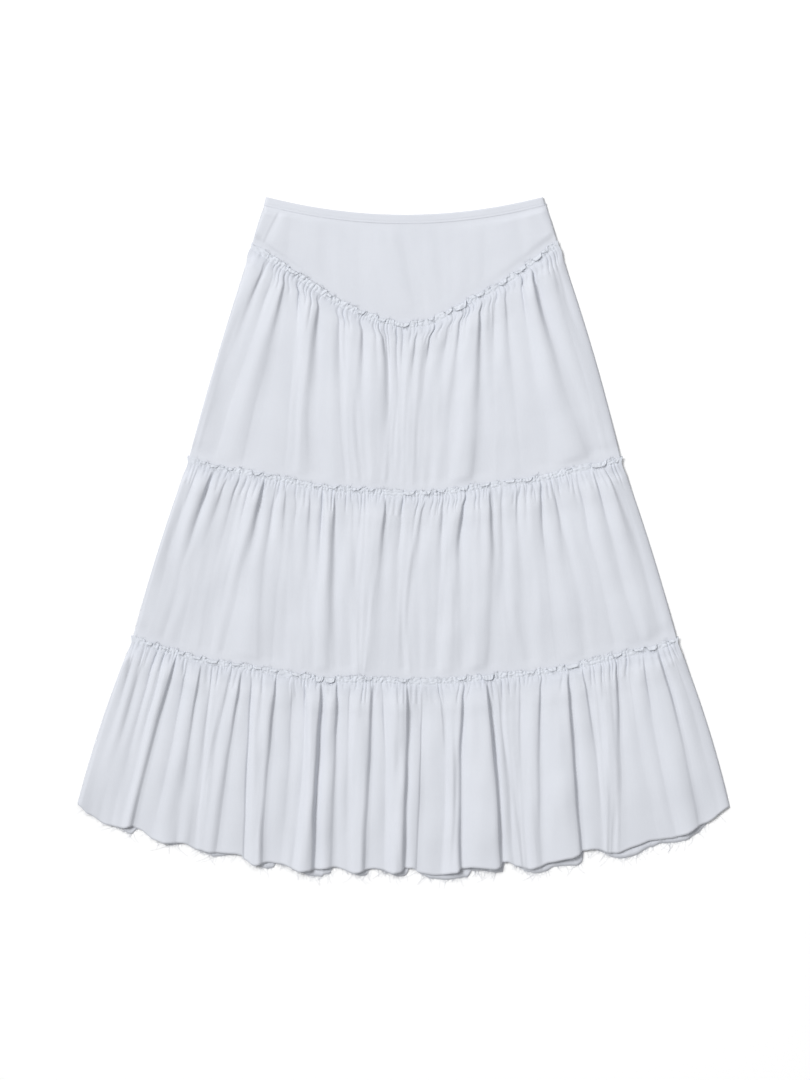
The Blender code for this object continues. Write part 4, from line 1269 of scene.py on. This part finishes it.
def stitches(name, seam_line, kind, under=False):
    """A row of stitches along a line of points on the cloth, or under it."""
    pitch, long, thick, lift = [size * MM for size in kind]
    seam_line = seam_line[STITCH_ENDS:-STITCH_ENDS]
    gap = np.linalg.norm(np.diff(seam_line, axis=0), axis=1)
    run = np.concatenate([[0.0], np.cumsum(gap)])
    share = np.linspace(0.0, 1.0, STITCH_POINTS)
    at = (np.arange(int(run[-1] / pitch))[:, None] + 0.5) * pitch + (share - 0.5) * long
    centre = np.stack([np.interp(at, run, seam_line[:, part]) for part in range(3)], axis=-1)
    arch = np.sin(share * math.pi) * lift - SUNK_IN * MM
    centre[..., 2] += -arch if under else arch
    return strands(name, centre, np.full(centre.shape[:2], thick / 2.0), sides=4)


def finish_cloth(piece, panel, side):
    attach(piece, "root")
    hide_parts(panel + "_" + side)


def upper_face(points, thickness):
    """Rows of points moved from the lower to the upper face."""
    return points + np.array([0.0, 0.0, thickness * MM])


def dress_waistband(side):
    band, points = make_waistband(side)
    face = upper_face(points, BAND_CLOTH) if side == "front" else points
    sewn_along = mix(face[BAND_SEWN[0]], face[BAND_SEWN[1]], 0.5)
    sewn = stitches("waistband_" + side + "_stitches", sewn_along, BAND_STITCH, under=side == "back")
    finish_cloth(band, "waistband", side)


def dress_tier_back(number, rng):
    panel = "tier_%d" % number
    cloth, rows = make_back(panel, number, 220 + 10 * number, rng)
    going = [
        fray(panel + "_back_frill_threads", rows[0], rows[1], count=90, longest=4.0, seed=300 + number),
        stitches(panel + "_back_stitches", rows[BACK_STITCH_ROW], SEAM_STITCH, under=True),
    ]
    if number == 3:
        hem = (rows[-1], rows[-2])
        going.append(fray("back_hem_threads", *hem, count=420, longest=13.0, seed=310, thinnest=0.12))
        going.append(fray("back_hem_fringe", *hem, count=600, longest=4.0, seed=311, thinnest=0.11))
    finish_cloth(cloth, panel, "back")


def dress_tier_front(number, folds, rng):
    panel = "tier_%d" % number
    lines = shaken(fold_lines(panel, curved(folds, 50 + number), GATHER_PITCH, FOLD_SIDE), rng)
    cloth, rows = make_tier_front(number, lines, 120 + 10 * number)
    raw, inner, sewn = [upper_face(rows[index], CLOTH) for index in (0, 1, FRILL_ROWS)]
    loose = 300 + 160 * number
    going = [
        fray(panel + "_frill_threads", raw, inner, count=loose, longest=4.0, seed=320 + number),
        stitches(panel + "_stitches", sewn, SEAM_STITCH),
    ]
    if number == 3:
        hem = (rows[-1], rows[-2])
        going.append(fray("front_hem_threads", *hem, count=300, longest=6.0, seed=330, thinnest=0.10))
    finish_cloth(cloth, panel, "front")


def dress_skirt():
    rng = random.Random(SEED)
    for side in ("back", "front"):
        dress_waistband(side)
    yoke_back, _ = make_back("yoke", 0, 210, rng)
    finish_cloth(yoke_back, "yoke", "back")
    finish_cloth(make_yoke_front(110), "yoke", "front")
    for number, folds in enumerate((TIER_1_FOLDS, TIER_2_FOLDS, TIER_3_FOLDS), start=1):
        dress_tier_back(number, rng)
        dress_tier_front(number, folds, rng)


# ---- floor, light and camera
FLOOR_HALF = 30.0
FLOOR_BELOW = 0.0004


def make_floor():
    signs = [(-1.0, -1.0), (1.0, -1.0), (1.0, 1.0), (-1.0, 1.0)]
    corners = np.array([(x * FLOOR_HALF, y * FLOOR_HALF, -FLOOR_BELOW) for x, y in signs])
    material, _, _ = matt("pale_floor", Base_Color=(0.96, 0.96, 0.96, 1.0), Roughness=0.95)
    new_mesh("floor", corners, [(0, 1, 2, 3)], material)


def placed(name, data):
    made = bpy.data.objects.new(name, data)
    bpy.context.scene.collection.objects.link(made)
    return made


def make_key(toward, strength, spread_degrees):
    """Soft key light, even over the whole skirt; toward points from the skirt to the light."""
    light = bpy.data.lights.new("key", "SUN")
    light.energy = strength
    light.angle = math.radians(spread_degrees)
    lamp = placed("key", light)
    lamp.rotation_mode = "QUATERNION"
    lamp.rotation_quaternion = Vector(toward).to_track_quat("Z", "Y")


def make_fill(place, size, power):
    """Wide lamp over the waist, so that light falls off a little towards the hem."""
    light = bpy.data.lights.new("fill", "AREA")
    light.shape = "DISK"
    light.size = size
    light.energy = power
    placed("fill", light).location = place


def make_world(strength):
    studio = bpy.data.worlds.new("studio")
    studio.use_nodes = True
    background = studio.node_tree.nodes["Background"]
    feed(studio.node_tree, background, {"Color": (1.0, 1.0, 1.0, 1.0), "Strength": strength})
    bpy.context.scene.world = studio


IMAGE_WIDTH = 810.0
IMAGE_HEIGHT = 1080.0
MM_PER_PIXEL = 1.28
CENTRE_LINE_PIXEL = 404.5  # column of the image on the skirt's centre line
WAIST_CORNER_PIXEL = 197.5  # row of the image at the waist's corners
CAMERA_HEIGHT = 4.2


def make_camera():
    camera = bpy.data.cameras.new("camera")
    camera.sensor_width = 36.0
    camera.lens = camera.sensor_width * CAMERA_HEIGHT / (IMAGE_HEIGHT * MM_PER_PIXEL * MM)
    camera.clip_end = 50.0
    right = (IMAGE_WIDTH / 2.0 - CENTRE_LINE_PIXEL) * MM_PER_PIXEL
    down = (IMAGE_HEIGHT / 2.0 - WAIST_CORNER_PIXEL) * MM_PER_PIXEL
    seen = placed("camera", camera)
    seen.location = (right * MM + SHIFT_X, SHIFT_Y - down * MM, CAMERA_HEIGHT)
    bpy.context.scene.camera = seen


dress_skirt()
make_floor()
make_world(strength=0.395)
make_fill(place=(-0.3, 1.2, 2.2), size=1.6, power=12.0)
make_key(toward=(-0.48, 0.32, 0.82), strength=2.20, spread_degrees=22.0)
make_camera()
bpy.context.scene.view_settings.view_transform = "Standard"
